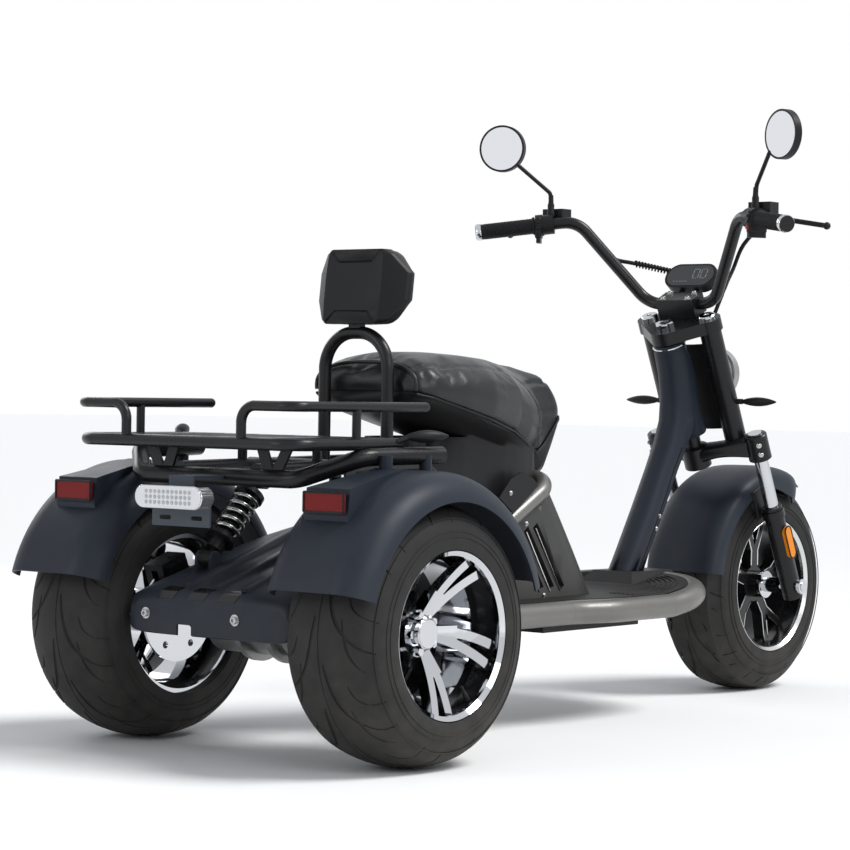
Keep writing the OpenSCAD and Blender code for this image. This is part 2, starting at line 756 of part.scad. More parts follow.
module luggage_rack() {
    rail_top = rack_z + rack_rail_h;
    rail = [[rack_rear, hoop_in, rack_z], [rack_rear, hoop_in, rail_top],
        [rack_rear, rack_w/2, rail_top], [rail_front, rack_w/2, rail_top]];
    post_d = rack_rail_d - 2;
    foot_x = rack_front - 20;
    color(black_paint) difference() {
        union() {
            rack_base();
            for (i = [-2:2]) translate(aft([rack_rear, i*rack_w/6 - slat_w/2, rack_top - slat_t]))
                cube([rack_front - rack_rear, slat_w, slat_t]);
            both_sides() {
                bent_tube([for (p = rail) aft(p)], rack_rail_d, 30);
                translate(aft([rail_front, rack_w/2, rail_top])) sphere(d = rack_rail_d + elbow_swell);
                rod(aft([rack_post, rack_w/2, rack_z]), aft([rack_post, rack_w/2, rail_top]), post_d);
                // flat struts down to the rear loop
                for (lean = [-1, 1]) translate(aft([loop_x - 3, 0, 0])) rotate([90, 0, 90]) linear_extrude(6)
                    polygon([[120 + lean*4, loop_z], [144 + lean*4, loop_z],
                        [150 + lean*34, rack_z], [126 + lean*34, rack_z]]);
                rod(aft([foot_x, long_y, long_z]), aft([foot_x, long_y, rack_z]), rack_rail_d);
                rod(aft([foot_x, long_y, rack_z]), aft([rack_front, long_y, rack_z]), rack_rail_d);
            }
        }
        rear_loop(seat_gap);
        long_tubes(seat_gap);
    }
}

// Rear axle: swing arm, motor, cover, shocks and brakes
motor_r = 62;
motor_left = 108;
motor_right = -70;
axle_tube_d = 56;
axle_tube_end = 190;
pivot_x = 400;
pivot_d = 32;
carrier_end = wheel_y - disc_y - 6;
carrier_d = axle_tube_d - 14;

// A round bar along the rear axle between two places across the object
module axle_rod(y0, y1, d) { rod(aft([0, y0, tyre_r]), aft([0, y1, tyre_r]), d); }

module swing_arm() {
    arm_y = 152;
    arm_d = 40;
    axle_out = wheel_y + 16;
    color(black_paint) {
        // the half axle on each side, from the motor's end out to the wheel
        for (side = [[motor_left + seat_gap, 1], [-motor_right + seat_gap, -1]]) {
            axle_rod(side[1]*side[0], side[1]*axle_tube_end, axle_tube_d);
            axle_rod(side[1]*axle_tube_end, side[1]*carrier_end, carrier_d);
            axle_rod(side[1]*carrier_end, side[1]*axle_out, axle_d);
            bent_tube([aft([0, side[1]*arm_y, tyre_r]), aft([180, side[1]*arm_y, tyre_r + 10]),
                aft([pivot_x, side[1]*100, rail_z])], arm_d, 60);
        }
        rod(aft([pivot_x, seat_gap - lug_y, rail_z]), aft([pivot_x, lug_y - seat_gap, rail_z]), pivot_d);
    }
}

module drive_motor() {
    flange_r = motor_r + 13;
    color(bright_metal) {
        axle_rod(motor_right, motor_left, 2*motor_r);
        for (y = [motor_right + 14, 18]) axle_rod(y, y + 12, 2*flange_r);
        // terminal box ahead of the casing
        translate(aft([20, motor_right + 40, tyre_r])) cube([90, 80, 50]);
    }
}

cover_w = 2*(wheel_y - tyre_w/2) - 24;
cover_t = 5;
cover_rear = -172;
cover_front = 215;
module cover_skin(inset) {
    // place, share of the width, height of the lower edge, height of the top
    rows = [
        [cover_rear, 0.96, 218, 276], [cover_rear + 8, 0.99, 214, 296], [-120, 1, 214, 312],
        [-40, 1, 220, 336], [60, 0.95, 252, 366], [140, 0.80, 296, 392], [cover_front, 0.62, 326, 414]
    ];
    open_low = inset > 0 ? 60 : 0;
    loft([for (c = rows) let (x = rear_x + c[0] + (c[0] == cover_rear ? inset : 0))
        oval_yz(x, c[1]*cover_w/2 - inset, c[2] - open_low, c[3] - inset, 5, 8, 40)]);
}

// Moulded cover over the rear axle, open below and in front, with ribs and the lower shock brackets
module axle_cover() {
    rib_slope = 17.5;
    rib_w = 18;
    rib_l = 300;
    rib_pitch = 70;
    arch_w = axle_tube_d + 2*near_gap;
    color(slate_plastic) {
        difference() {
            cover_skin(0);
            cover_skin(cover_t);
            // open front end
            translate(aft([cover_front - 15, -cover_w/2, 0])) cube([60, cover_w, tyre_d]);
            // notch in the rear edge
            translate(aft([cover_rear - 28, 0.2*cover_w/2, 200])) cube([60, 0.18*cover_w/2, 36]);
            // arches that let the axle tube out
            axle_rod(-cover_w, cover_w, arch_w);
            translate(aft([-arch_w/2, -cover_w, 0])) cube([arch_w, 2*cover_w, tyre_r]);
        }
        for (i = [-1:1]) translate(aft([-rib_l/2, i*rib_pitch - rib_w/2, 300]))
            rotate([0, -rib_slope, 0]) cube([rib_l, rib_w, 8]);
        both_sides() shock_ears(shock_foot, -26);
    }
}

function shock_at(t) = aft(shock_foot + t*unit(shock_top - shock_foot));
shock_l = norm(shock_top - shock_foot);
spring_low = 52;
spring_high = shock_l - 40;
spring_r = 23;
spring_wire = 8;

module shock_absorbers() {
    color(black_paint) both_sides() {
        for (eye = [shock_foot, shock_top])
            rod(aft([eye.x, eye.y - eye_w/2, eye.z]), aft([eye.x, eye.y + eye_w/2, eye.z]), eye_d);
        rod(shock_at(eye_d/2 + 5), shock_at(spring_high - 20), 34);
        rod(shock_at(0), shock_at(shock_l), 14);
        rod(shock_at(spring_low - 8), shock_at(spring_low), 2*spring_r + 12);
        rod(shock_at(spring_high), shock_at(spring_high + 10), 2*spring_r + 12);
    }
}

module shock_springs() {
    turns = 5;
    rise = spring_high - spring_low - spring_wire - 2*seat_gap;
    steps = turns*16;
    v = shock_top - shock_foot;
    coil = [for (i = [0:steps]) let (a = 360*turns*i/steps) [spring_r*cos(a), spring_r*sin(a), rise*i/steps]];
    color(bright_metal) both_sides() translate(shock_at(spring_low + spring_wire/2 + seat_gap))
        rotate([0, acos(v.z/norm(v)), atan2(v.y, v.x)]) hose(coil, spring_wire);
}

// A brake caliper over a disc whose inner face lies at local y = 0 and which runs towards +y
module caliper() {
    slot = disc_t + 10;
    body_l = 66;
    difference() {
        translate([-body_l/2, -slot/2 - 16 + disc_t/2, 60]) cube([body_l, slot + 32, 50]);
        translate([-body_l, -slot/2 + disc_t/2, 40]) cube([2*body_l, slot, 40 + disc_r - 74]);
    }
}

module rear_calipers() {
    lean = -20;
    plate_y = cover_w/2 + 5;
    plate_w = 48;
    bore = carrier_d + 2*seat_gap;
    color(black_paint) both_sides() translate([rear_x, 0, tyre_r]) rotate([0, lean, 0]) difference() {
        union() {
            translate([0, wheel_y - disc_y, 0]) mirror([0, 1, 0]) translate([0, -disc_t, 0]) caliper();
            translate([-plate_w/2, plate_y, 0]) cube([plate_w, 10, 100]);
            translate([-plate_w/2, plate_y, 72]) cube([plate_w, wheel_y - disc_y - 12 - plate_y, 30]);
        }
        about_y() translate([0, 0, -track]) cylinder(d = bore, h = 2*track);
    }
}

// Fenders and rear lamps

// Fender section: a flat crown with rounded shoulders, cut off above the lips
fender_shoulder = 60;
module fender_profile(crown_r, width, inset) {
    flat = width/2 - fender_shoulder;
    translate([crown_r - fender_shoulder, -flat]) square([fender_shoulder - inset, 2*flat]);
    for (s = [-1, 1]) translate([crown_r - fender_shoulder, s*flat]) circle(r = fender_shoulder - inset);
}

module fender_skin(crown_r, width, lip) {
    difference() {
        fender_profile(crown_r, width, 0);
        fender_profile(crown_r, width, fender_t);
        translate([0, -width]) square([crown_r - lip, 2*width]);
    }
}

rear_lip = 52;
rear_arc = 17;
reflector_w = 90;
reflector_h = 34;
reflector_y = wheel_y - 14;
reflector_z = 471;
housing_x = -206;

// Space inside a rear fender, as a full turn about the wheel's axle
module fender_space(crown_r) {
    about_y() rotate_extrude($fn = wheel_fn) {
        fender_profile(crown_r, fender_w, fender_t);
        translate([0, -fender_w/2 + fender_t]) square([crown_r - fender_shoulder, fender_w - 2*fender_t]);
    }
}

// Right rear fender with the raised box that carries the reflector
module rear_fender() {
    wheel_at = [rear_x, -wheel_y, tyre_r];
    housing_w = reflector_w + 10;
    housing_end = -40;
    taper = [[housing_x, -housing_w/2], [housing_end, -0.3*housing_w]];
    housing = [[housing_x, reflector_z - 24], [housing_x + 6, reflector_z + 24],
        [housing_end, stay_z - 22], [housing_end, stay_z - 60], [housing_x + 10, reflector_z - 52]];
    color(slate_plastic) {
        translate(wheel_at) about_y() rotate([0, 0, rear_arc])
            rotate_extrude(angle = 180 - 2*rear_arc, $fn = wheel_fn)
            fender_skin(rear_fender_r, fender_w, rear_lip);
        difference() {
            union() {
                translate(aft([0, -reflector_y, 0])) intersection() {
                    translate([0, housing_w/2, 0]) rotate([90, 0, 0])
                        linear_extrude(housing_w) polygon(housing);
                    linear_extrude(2*tyre_d) polygon(concat(taper, reversed([for (p = taper) [p.x, -p.y]])));
                }
                for (x = [housing_end, 70])
                    rod(aft([x, -stay_y, stay_z - 34]), aft([x, -stay_y, stay_z]), 24);
            }
            translate(wheel_at) fender_space(rear_fender_r - 1);
            rear_loop(seat_gap);
        }
    }
}

module rear_fender_left() { mirror([0, 1, 0]) rear_fender(); }
module rear_fender_right() { rear_fender(); }

module rear_reflectors() {
    lens_t = 6;
    corner = [housing_x - lens_t - seat_gap, reflector_y - reflector_w/2, reflector_z - reflector_h/2];
    color(red_lens) both_sides() translate(aft(corner)) cube([lens_t, reflector_w, reflector_h]);
}

lamp_w = 160;
lamp_h = 38;
lamp_z = 470;
lamp_d = 34;
plate_x = lamp_d - rear_reach;
plate_t = 4;
plate_w = 140;
plate_low = 418;
slot_spacing = 76;
slot_l = 28;
slot_w = 8;
slot_z = 433;

module tail_lamp() {
    color(clear_lens) translate(aft([-rear_reach, 0, lamp_z])) rotate([90, 0, 90])
        linear_extrude(lamp_d - seat_gap) oblong(lamp_w, lamp_h);
}

// Upright plate behind the lamp with two slots for a number plate, on an arm from the rear loop
module plate_bracket() {
    arm_w = 60;
    color(black_paint) difference() {
        union() {
            translate(aft([plate_x, -plate_w/2, plate_low])) cube([plate_t, plate_w, lamp_z - plate_low]);
            translate(aft([plate_x, -arm_w/2, plate_low])) cube([plate_t, arm_w, loop_z - plate_low + 3]);
            translate(aft([plate_x, -arm_w/2, loop_z - 3])) cube([loop_x - plate_x, arm_w, 6]);
        }
        for (s = [-1, 1]) translate(aft([plate_x - 1, s*slot_spacing/2, slot_z])) rotate([90, 0, 90])
            linear_extrude(plate_t + 2) oblong(slot_l, slot_w);
        rear_loop(seat_gap);
    }
}

module rear_signals() {
    root = [22, rack_w/2 + rack_d/2 + seat_gap, rack_z + 4];
    color(black_plastic) both_sides() difference() {
        union() {
            rod(aft(root - [0, 4, 0]), aft(root + [22, 10, 10]), 10);
            leaf(aft(root + [8, 2, 9]), aft(root + [88, 48, 12]), 23);
        }
        rack_base_tube(seat_gap);
    }
}

// Steering: yokes, fork and front fender

yoke_low = 325;
yoke_t = 44;
leg_y = leg_spacing/2;
tube_y = tube_spacing/2;
leg_cap = 376;
slider_top = 200;
slider_low = -26;
top_yoke_low = head_high + 4;
top_yoke_t = 28;
top_yoke_top = top_yoke_low + top_yoke_t;

module top_yoke() {
    eye_r = tube_d/2 + 5;
    side = [[-30, -20], [tube_offset - 14, 5 - tube_y - eye_r], [tube_offset + eye_r, -tube_y]];
    color(black_paint) steer_frame() difference() {
        union() {
            translate([0, 0, top_yoke_low]) linear_extrude(top_yoke_t) {
                circle(r = 36);
                for (s = [-1, 1]) translate([tube_offset, s*tube_y]) circle(r = eye_r);
                polygon(concat(side, reversed([for (p = side) [p.x, -p.y]])));
            }
            translate([0, 0, top_yoke_top]) cylinder(d = 40, h = 14, $fn = 6);
            for (s = [-1, 1]) translate([tube_offset, s*tube_y, top_yoke_top]) cylinder(d = 36, h = 7);
        }
        cylinder_z(stem_d + 2*seat_gap, top_yoke_low - 1, top_yoke_top - 4);
    }
}

// Lower yoke with the steering stem, arched between the legs
module lower_yoke() {
    boss_d = stanchion_d + 20;
    arch_r = 70;
    color(black_paint) steer_frame() difference() {
        union() {
            translate([0, 0, yoke_low]) linear_extrude(yoke_t) polygon([
                [-34, -46], [-34, 46], [leg_offset - 22, leg_y], [leg_offset + 22, leg_y],
                [tube_offset + 30, tube_y - 8], [tube_offset + 30, 8 - tube_y],
                [leg_offset + 22, -leg_y], [leg_offset - 22, -leg_y]]);
            for (s = [-1, 1]) translate([leg_offset, s*leg_y, 0]) cylinder_z(boss_d, yoke_low - 8, leg_cap);
            cylinder_z(head_d - 4, yoke_low, head_low - near_gap);
            cylinder_z(stem_d, yoke_low, top_yoke_top - 6);
        }
        for (s = [-1, 1]) translate([leg_offset, s*leg_y, 0])
            cylinder_z(stanchion_d + 2*seat_gap, yoke_low - 20, leg_cap + 20);
        translate([-60, 0, yoke_low - arch_r + 16]) rotate([0, 90, 0]) cylinder(r = arch_r, h = 200);
    }
}

module fork_tubes_solid(grow) {
    steer_frame() for (s = [-1, 1]) translate([tube_offset, s*tube_y, 0])
        cylinder_z(tube_d + 2*grow, yoke_low + yoke_t + seat_gap, top_yoke_low - seat_gap);
}
module fork_tubes() { color(black_paint) fork_tubes_solid(0); }

module fork_stanchions() {
    color(bright_metal) steer_frame() for (s = [-1, 1]) translate([leg_offset, s*leg_y, 0])
        cylinder_z(stanchion_d, slider_top + seat_gap, leg_cap + 4);
}

module sliders_solid(grow) {
    steer_frame() for (s = [-1, 1]) translate([leg_offset, s*leg_y, 0]) {
        cylinder_z(slider_d + 2*grow, slider_low - grow, slider_top + grow);
        cylinder_z(slider_d + 6 + 2*grow, slider_top - 26 - grow, slider_top - 8 + grow);
    }
}

module fork_sliders() {
    color(black_paint) difference() {
        sliders_solid(0);
        rod([front_x, -leg_spacing, tyre_r], [front_x, leg_spacing, tyre_r], axle_d + 2*seat_gap);
    }
}

module front_axle() {
    nut_y = leg_y + slider_d/2 + seat_gap;
    spacer_y = leg_y - slider_d/2;
    color(bright_metal) difference() {
        union() {
            rod([front_x, -nut_y - 12, tyre_r], [front_x, nut_y + 12, tyre_r], axle_d);
            both_sides() {
                rod([front_x, nut_y, tyre_r], [front_x, nut_y + 10, tyre_r], axle_d + 14);
                rod([front_x, front_disc_y + near_gap, tyre_r], [front_x, spacer_y, tyre_r], axle_d + 14);
            }
        }
        difference() {
            sliders_solid(seat_gap);
            rod([front_x, -leg_spacing, tyre_r], [front_x, leg_spacing, tyre_r], axle_d);
        }
    }
}

front_lip = 40;
front_arc_low = 172;
front_arc_top = 75;
beak_reach = tyre_r - 4;
beak_l = (beak_reach - front_fender_r*cos(front_arc_top))/sin(front_arc_top);

// Front fender: an arc over the tyre that runs out into a straight beak with a rounded tip
module front_fender() {
    tip_r = 0.56*front_fender_w;
    color(slate_plastic) difference() {
        union() {
            translate([front_x, 0, tyre_r]) about_y() rotate([0, 0, front_arc_top])
                rotate_extrude(angle = front_arc_low - front_arc_top, $fn = wheel_fn)
                fender_skin(front_fender_r, front_fender_w, front_lip);
            intersection() {
                translate([front_x, 0, tyre_r]) about_y() rotate([90, 0, front_arc_top])
                    linear_extrude(beak_l + 40) fender_skin(front_fender_r, front_fender_w, front_lip);
                translate([front_x, 0, 0]) {
                    translate([beak_reach - tip_r, 0, 0]) cylinder(r = tip_r, h = 2*tyre_d);
                    translate([-50, -tip_r, 0]) cube([beak_reach - tip_r + 50, 2*tip_r, 2*tyre_d]);
                }
            }
            // plates that hold the fender to the legs
            both_sides() steer_frame() {
                translate([leg_offset - 18, front_fender_w/2 - 4, slider_top - 30]) cube([36, 6, 70]);
                translate([leg_offset, front_fender_w/2, slider_top - 17]) rotate([-90, 0, 0])
                    cylinder(d = 20, h = leg_y - front_fender_w/2);
            }
        }
        sliders_solid(seat_gap);
    }
}

module front_caliper() {
    lean = -32;
    color(black_paint) difference() {
        translate([front_x, 0, tyre_r]) rotate([0, lean - rake, 0]) {
            translate([0, front_disc_y - disc_t, 0]) caliper();
            translate([-10, front_disc_y + 8, 64]) cube([30, leg_y - front_disc_y - 20, 40]);
        }
        sliders_solid(seat_gap);
    }
}

module fork_reflectors() {
    lens_l = 76;
    lens_w = 24;
    color(amber_lens) both_sides() steer_frame() difference() {
        translate([leg_offset, leg_y + slider_d/2 + 6, 112]) rotate([90, 90, 0])
            linear_extrude(slider_d/2) oblong(lens_l, lens_w);
        translate([leg_offset, leg_y, 0]) cylinder_z(slider_d + 2*seat_gap, 0, slider_top);
    }
}

lamp_at = aft([1446, 0, 712]);
bowl_r = 54;

module headlamp() {
    ring_r = bowl_r + 3;
    ear_y = tube_y - 4;
    color(bright_metal) difference() {
        union() {
            intersection() {
                translate(lamp_at) sphere(r = bowl_r);
                translate(lamp_at + [-bowl_r, -bowl_r, -bowl_r]) cube([bowl_r + 14, 2*bowl_r, 2*bowl_r]);
            }
            translate(lamp_at + [12, 0, 0]) rotate([0, 90, 0]) cylinder(r = ring_r, h = 20);
            // ears from the fork tubes
            both_sides() rod([lamp_at.x - 46, ear_y, lamp_at.z], lamp_at + [0, bowl_r - 8, 0], 16);
        }
        translate(lamp_at + [26, 0, 0]) rotate([0, 90, 0]) cylinder(r = ring_r - 5, h = 24);
        fork_tubes_solid(seat_gap);
    }
}

module front_signals() {
    q = tube_offset + 6;
    s = 452;
    stalk_y = tube_y + 26;
    color(black_plastic) both_sides() difference() {
        union() {
            rod(steer(q, tube_y, s), steer(q, stalk_y + 10, s), 12);
            leaf(steer(q, stalk_y, s), steer(q, stalk_y + 100, s), 20);
        }
        fork_tubes_solid(seat_gap);
    }
}

// Handlebar and controls

clamp_q = 79;
clamp_s = top_yoke_top + 25;
clamp_at = steer(clamp_q, 0, clamp_s);
display_at = clamp_at + [51, 0, 52];
bar_low = [clamp_at.x, 86, clamp_at.z];
bar_bend = aft([1224, 212, bar_h + 12]);
bar_end = aft([1112, bar_w/2, bar_h - 14]);
grip_dir = unit(bar_end - bar_bend);
grip_span = norm(bar_end - bar_bend);
grip_l = 122;
grip_d = 34;
cap_lap = 2;
function on_grip(t) = bar_bend + t*grip_dir;

// Straight bore for what slides on to the bar's ends
module bar_bore() { rod(on_grip(20), on_grip(grip_span + 10), bar_d + 2*seat_gap); }

module bar_solid(grow) {
    half = [bar_end, bar_bend, bar_low];
    bent_tube(concat(half, reversed([for (p = half) mirror_y(p)])), bar_d + 2*grow, 60);
}

module handlebar() {
    color(black_paint) {
        bar_solid(0);
        both_sides() rod(bar_end - cap_lap*grip_dir, bar_end + 10*grip_dir, grip_d);
    }
}

module bar_clamp() {
    clamp_w = 96;
    color(black_paint) difference() {
        steer_frame() translate([clamp_q - 26, -clamp_w/2, top_yoke_top + seat_gap]) cube([46, clamp_w, 44]);
        rod(bar_low, mirror_y(bar_low), bar_d + 2*seat_gap);
    }
}

module display() {
    face_h = 64;
    face_w = 132;
    face_tilt = 56;
    face_t = 20;
    stalk_y = 18;
    color(black_plastic) difference() {
        union() {
            translate(display_at) rotate([0, -face_tilt, 0]) rotate(90) linear_extrude(face_t)
                oblong(face_w, face_h);
            both_sides() rod(display_at + [4, stalk_y, 0],
                steer(clamp_q + 12, stalk_y, top_yoke_top + 30), 12);
        }
        steer_frame() translate([clamp_q - 40, -60, top_yoke_top - 10]) cube([60 + seat_gap, 120, 60]);
    }
}

module grips() {
    color(rubber_black) both_sides() difference() {
        rod(on_grip(grip_span - grip_l), on_grip(grip_span - cap_lap - seat_gap), grip_d);
        bar_bore();
    }
}

perch_t = 52;
perch_w = 26;
lever_root = on_grip(perch_t + perch_w/2) + [40, 0, 4];
lever_tip = aft([1246, 414, bar_h - 12]);
mirror_root = on_grip(perch_t + perch_w/2) + [10, 0, 20];

// Brake fluid reservoir on the lever's clamp
module reservoir(grow) {
    corner = [-20, -24, 6];
    size = [34, 54, 26];
    translate(lever_root + corner - grow*[1, 1, 1]) cube(size + 2*grow*[1, 1, 1]);
}

// Switch pods, lever clamps, levers and brake fluid reservoirs
module hand_controls() {
    pod_l = grip_span - grip_l - perch_t - perch_w - 3;
    pod_d = 40;
    pod_h = 40;
    color(black_plastic) both_sides() difference() {
        union() {
            rod(on_grip(perch_t), on_grip(perch_t + perch_w), 44);
            rod(on_grip(perch_t + perch_w - 2), on_grip(perch_t + perch_w + pod_l), 48);
            // switch housing below the bar
            translate(on_grip(perch_t + perch_w)) rotate([0, 0, atan2(grip_dir.y, grip_dir.x)])
                translate([2, -pod_d/2, -pod_h]) cube([pod_l - 4, pod_d, pod_h]);
            rod(on_grip(perch_t + perch_w/2), lever_root, 22);
            bent_tube([lever_root, lever_root + [16, 44, -4], lever_tip], 11, 20);
            translate(lever_tip) sphere(d = 16);
            reservoir(0);
        }
        bar_bore();
    }
}

mirror_at = aft([1141, bar_w/2 - 33, bar_h + 173]);
mirror_d = 104;
mirror_yaw = 20;
mirror_t = 16;
mirror_well = 3;

module mirror_frame() { translate(mirror_at) rotate([0, 0, mirror_yaw]) rotate([0, -90, 0]) children(); }

module mirrors() {
    color(black_plastic) both_sides() difference() {
        union() {
            bent_tube([mirror_root + [0, 0, 2], mirror_root + [0, 2, 50], mirror_at + [14, -34, -36],
                mirror_at + [16, 0, 0]], 9, 12);
            mirror_frame() translate([0, 0, -mirror_t]) {
                cylinder(d = mirror_d, h = mirror_t);
                translate([0, 0, -8]) cylinder(d1 = mirror_d/2, d2 = mirror_d, h = 8.01);
            }
        }
        mirror_frame() translate([0, 0, -mirror_well]) cylinder(d = mirror_d - 8, h = 10);
        hand_controls_near();
    }
}
module hand_controls_near() {
    rod(on_grip(perch_t), on_grip(perch_t + perch_w), 44 + 2*seat_gap);
    reservoir(seat_gap);
}

module mirror_glass() {
    glass_t = 2.4;
    color(bright_metal) both_sides() mirror_frame()
        translate([0, 0, seat_gap - mirror_well]) cylinder(d = mirror_d - 9, h = glass_t);
}

// Brake hose and wiring that stay on the fork: down the risers, across to the display, on to the caliper
function on_riser(t, off) = bar_bend + t*(bar_low - bar_bend) + off;
module control_hoses() {
    hose_d = 9;
    from = lever_root + [20, -20, 8];
    left = [
        from, from + [26, -6, -14], on_riser(0.22, [26, 12, -14]), on_riser(0.45, [28, 6, 0]),
        on_riser(0.58, [40, -16, 14]), display_at + [20, 66, 20], display_at + [42, 52, -16],
        steer(106, 62, 600), steer(104, 106, 520), steer(100, 112, 420), steer(94, 132, 380),
        steer(96, leg_y + 14, 300), steer(96, leg_y + 30, 200), steer(50, leg_y + 40, 110),
        steer(-4, leg_y + 20, 66), steer(-1.6, 92, 62)
    ];
    right = [
        mirror_y(from), mirror_y(from + [26, -6, -14]), mirror_y(on_riser(0.25, [27, 10, -12])),
        mirror_y(on_riser(0.6, [30, 4, 2])), display_at + [26, -62, -16],
        steer(112, -40, 610), steer(100, -30, 540)
    ];
    color(rubber_black) {
        hose(smooth(left, 4), hose_d);
        hose(smooth(right, 5), hose_d);
    }
}

down_tube();
foot_block();
deck_frame();
deck_mat();
under_tray();
body_left();
body_right();
battery_pack();
seat_frame();
seat_pan();
seat_cushion();
rear_frame();
backrest_bar();
backrest_pad();
luggage_rack();
swing_arm();
drive_motor();
axle_cover();
shock_absorbers();
shock_springs();
rear_calipers();
rear_fender_left();
rear_fender_right();
rear_reflectors();
tail_lamp();
plate_bracket();
rear_signals();
top_yoke();
lower_yoke();
fork_tubes();
fork_stanchions();
fork_sliders();
front_axle();
front_fender();
front_caliper();
fork_reflectors();
headlamp();
front_signals();
handlebar();
bar_clamp();
display();
grips();
hand_controls();
mirrors();
mirror_glass();
control_hoses();
front_tyre();
front_rim();
rear_tyre_left();
rear_rim_left();
rear_tyre_right();
rear_rim_right();
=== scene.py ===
# %% [markdown]
# # A three-wheeled electric scooter, dressed in Blender
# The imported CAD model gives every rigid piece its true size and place. This lesson keeps those pieces,
# gives each one a finish, replaces the soft and faceted ones with smooth meshes, and adds the small things
# that make the object look real: tread, bolts, seams, lenses, ribs and switches.

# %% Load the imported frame
import json
from math import atan2, copysign, cos, degrees, hypot, pi, radians, sin, sqrt, tan
import bpy
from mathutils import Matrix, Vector

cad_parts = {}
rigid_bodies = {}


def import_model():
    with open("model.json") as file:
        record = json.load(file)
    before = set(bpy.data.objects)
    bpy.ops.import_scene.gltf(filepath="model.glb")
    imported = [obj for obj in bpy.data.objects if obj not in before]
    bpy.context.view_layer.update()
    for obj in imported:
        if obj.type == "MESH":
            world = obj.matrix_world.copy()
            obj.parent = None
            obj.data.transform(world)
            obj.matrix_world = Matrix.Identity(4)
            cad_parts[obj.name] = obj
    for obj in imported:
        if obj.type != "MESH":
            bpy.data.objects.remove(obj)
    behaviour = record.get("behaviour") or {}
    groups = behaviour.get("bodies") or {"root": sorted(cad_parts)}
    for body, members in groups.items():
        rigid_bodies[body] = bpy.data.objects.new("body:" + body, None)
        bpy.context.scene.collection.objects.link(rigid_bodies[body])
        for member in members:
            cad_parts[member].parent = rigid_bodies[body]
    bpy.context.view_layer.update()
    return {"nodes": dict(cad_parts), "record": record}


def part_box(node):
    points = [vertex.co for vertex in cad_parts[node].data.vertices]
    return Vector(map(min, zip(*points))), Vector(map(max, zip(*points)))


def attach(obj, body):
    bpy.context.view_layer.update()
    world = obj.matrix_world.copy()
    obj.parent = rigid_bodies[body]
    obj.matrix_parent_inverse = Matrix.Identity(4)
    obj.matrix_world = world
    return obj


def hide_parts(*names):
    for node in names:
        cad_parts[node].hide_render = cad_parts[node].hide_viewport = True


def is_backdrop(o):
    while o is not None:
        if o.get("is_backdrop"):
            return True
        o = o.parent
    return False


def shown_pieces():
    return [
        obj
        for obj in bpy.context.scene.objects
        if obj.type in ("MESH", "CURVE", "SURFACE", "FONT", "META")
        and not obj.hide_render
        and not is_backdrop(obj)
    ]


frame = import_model()
nodes = frame["nodes"]
print("CAD nodes:", len(nodes))

# %% [markdown]
# ## Camera and light
# The photograph was taken from behind and to the right with a long lens, close to the ground. Its place and
# turn were found from the ellipses of the wheel rims, so the render can be laid over the photograph. The
# light is a plain studio: one wide soft sun that gives the shadow, three softboxes for the gloss and a pale
# sky.

# %% Camera
def deselect():
    bpy.ops.object.select_all(action="DESELECT")


deselect()
bpy.ops.object.camera_add(
    location=(-4.6129, -3.4601, 0.6676),
    rotation=[radians(a) for a in (89.2637, -0.8985, -51.0007)])
camera = bpy.context.object
camera.data.sensor_width = 36
camera.data.lens = 119.23
camera.data.clip_end = 100
bpy.context.scene.camera = camera
print("camera at", [round(c, 2) for c in camera.location])

# %% Floor
deselect()
bpy.ops.mesh.primitive_plane_add(size=80, location=(0, 0, -0.0005))
floor = bpy.context.object
floor.name = "studio_floor"
floor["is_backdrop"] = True

# %% Lamps
def soft_lamp(name, kind, place, aim, power):
    deselect()
    bpy.ops.object.light_add(type=kind, location=place)
    lamp = bpy.context.object
    lamp.name = name
    lamp.data.energy = power
    lamp.rotation_euler = (Vector(aim) - Vector(place)).to_track_quat("-Z", "Y").to_euler()
    return lamp


sun = soft_lamp("soft_sun", "SUN", (1.6, -2.6, 4.2), (0, 0, 0), 2.4)
sun.data.angle = radians(24)
for name, place, size, power in (
        ("right_box", (-1.2, -3.6, 2.0), (2.6, 1.2), 26),
        ("rear_box", (-4.4, 1.4, 2.0), (1.8, 1.2), 20),
        ("left_box", (0.8, 3.8, 2.2), (2.6, 1.2), 26)):
    box_lamp = soft_lamp(name, "AREA", place, (0, 0, 0.5), power)
    box_lamp.data.shape = "RECTANGLE"
    box_lamp.data.size, box_lamp.data.size_y = size

# %% Sky
# Rays from the camera or through glass meet a white backdrop, reflections one that is a little dimmer,
# and all other light comes from a pale sky.
scene = bpy.context.scene
scene.view_settings.view_transform = "Standard"
world = bpy.data.worlds.new("pale_studio")
scene.world = world
world.use_nodes = True
sky_tree = world.node_tree
sky_light = sky_tree.nodes["Background"]
backdrop, shine = (sky_tree.nodes.new("ShaderNodeBackground") for _ in range(2))
for light, color, strength in ((sky_light, (0.82, 0.86, 0.92, 1), 0.42), (backdrop, (1, 1, 1, 1), 1.0),
                               (shine, (0.95, 0.97, 1.0, 1), 0.85)):
    light.inputs["Color"].default_value = color
    light.inputs["Strength"].default_value = strength
path = sky_tree.nodes.new("ShaderNodeLightPath")
see_through = sky_tree.nodes.new("ShaderNodeMath")
see_through.operation = "MAXIMUM"
reflected, shown = (sky_tree.nodes.new("ShaderNodeMixShader") for _ in range(2))
for source, out, target, socket in (
        (path, "Is Camera Ray", see_through, 0), (path, "Is Transmission Ray", see_through, 1),
        (path, "Is Glossy Ray", reflected, "Fac"), (sky_light, 0, reflected, 1), (shine, 0, reflected, 2),
        (see_through, 0, shown, "Fac"), (reflected, 0, shown, 1), (backdrop, 0, shown, 2),
        (shown, 0, sky_tree.nodes["World Output"], "Surface")):
    sky_tree.links.new(source.outputs[out], target.inputs[socket])
print("world:", world.name)

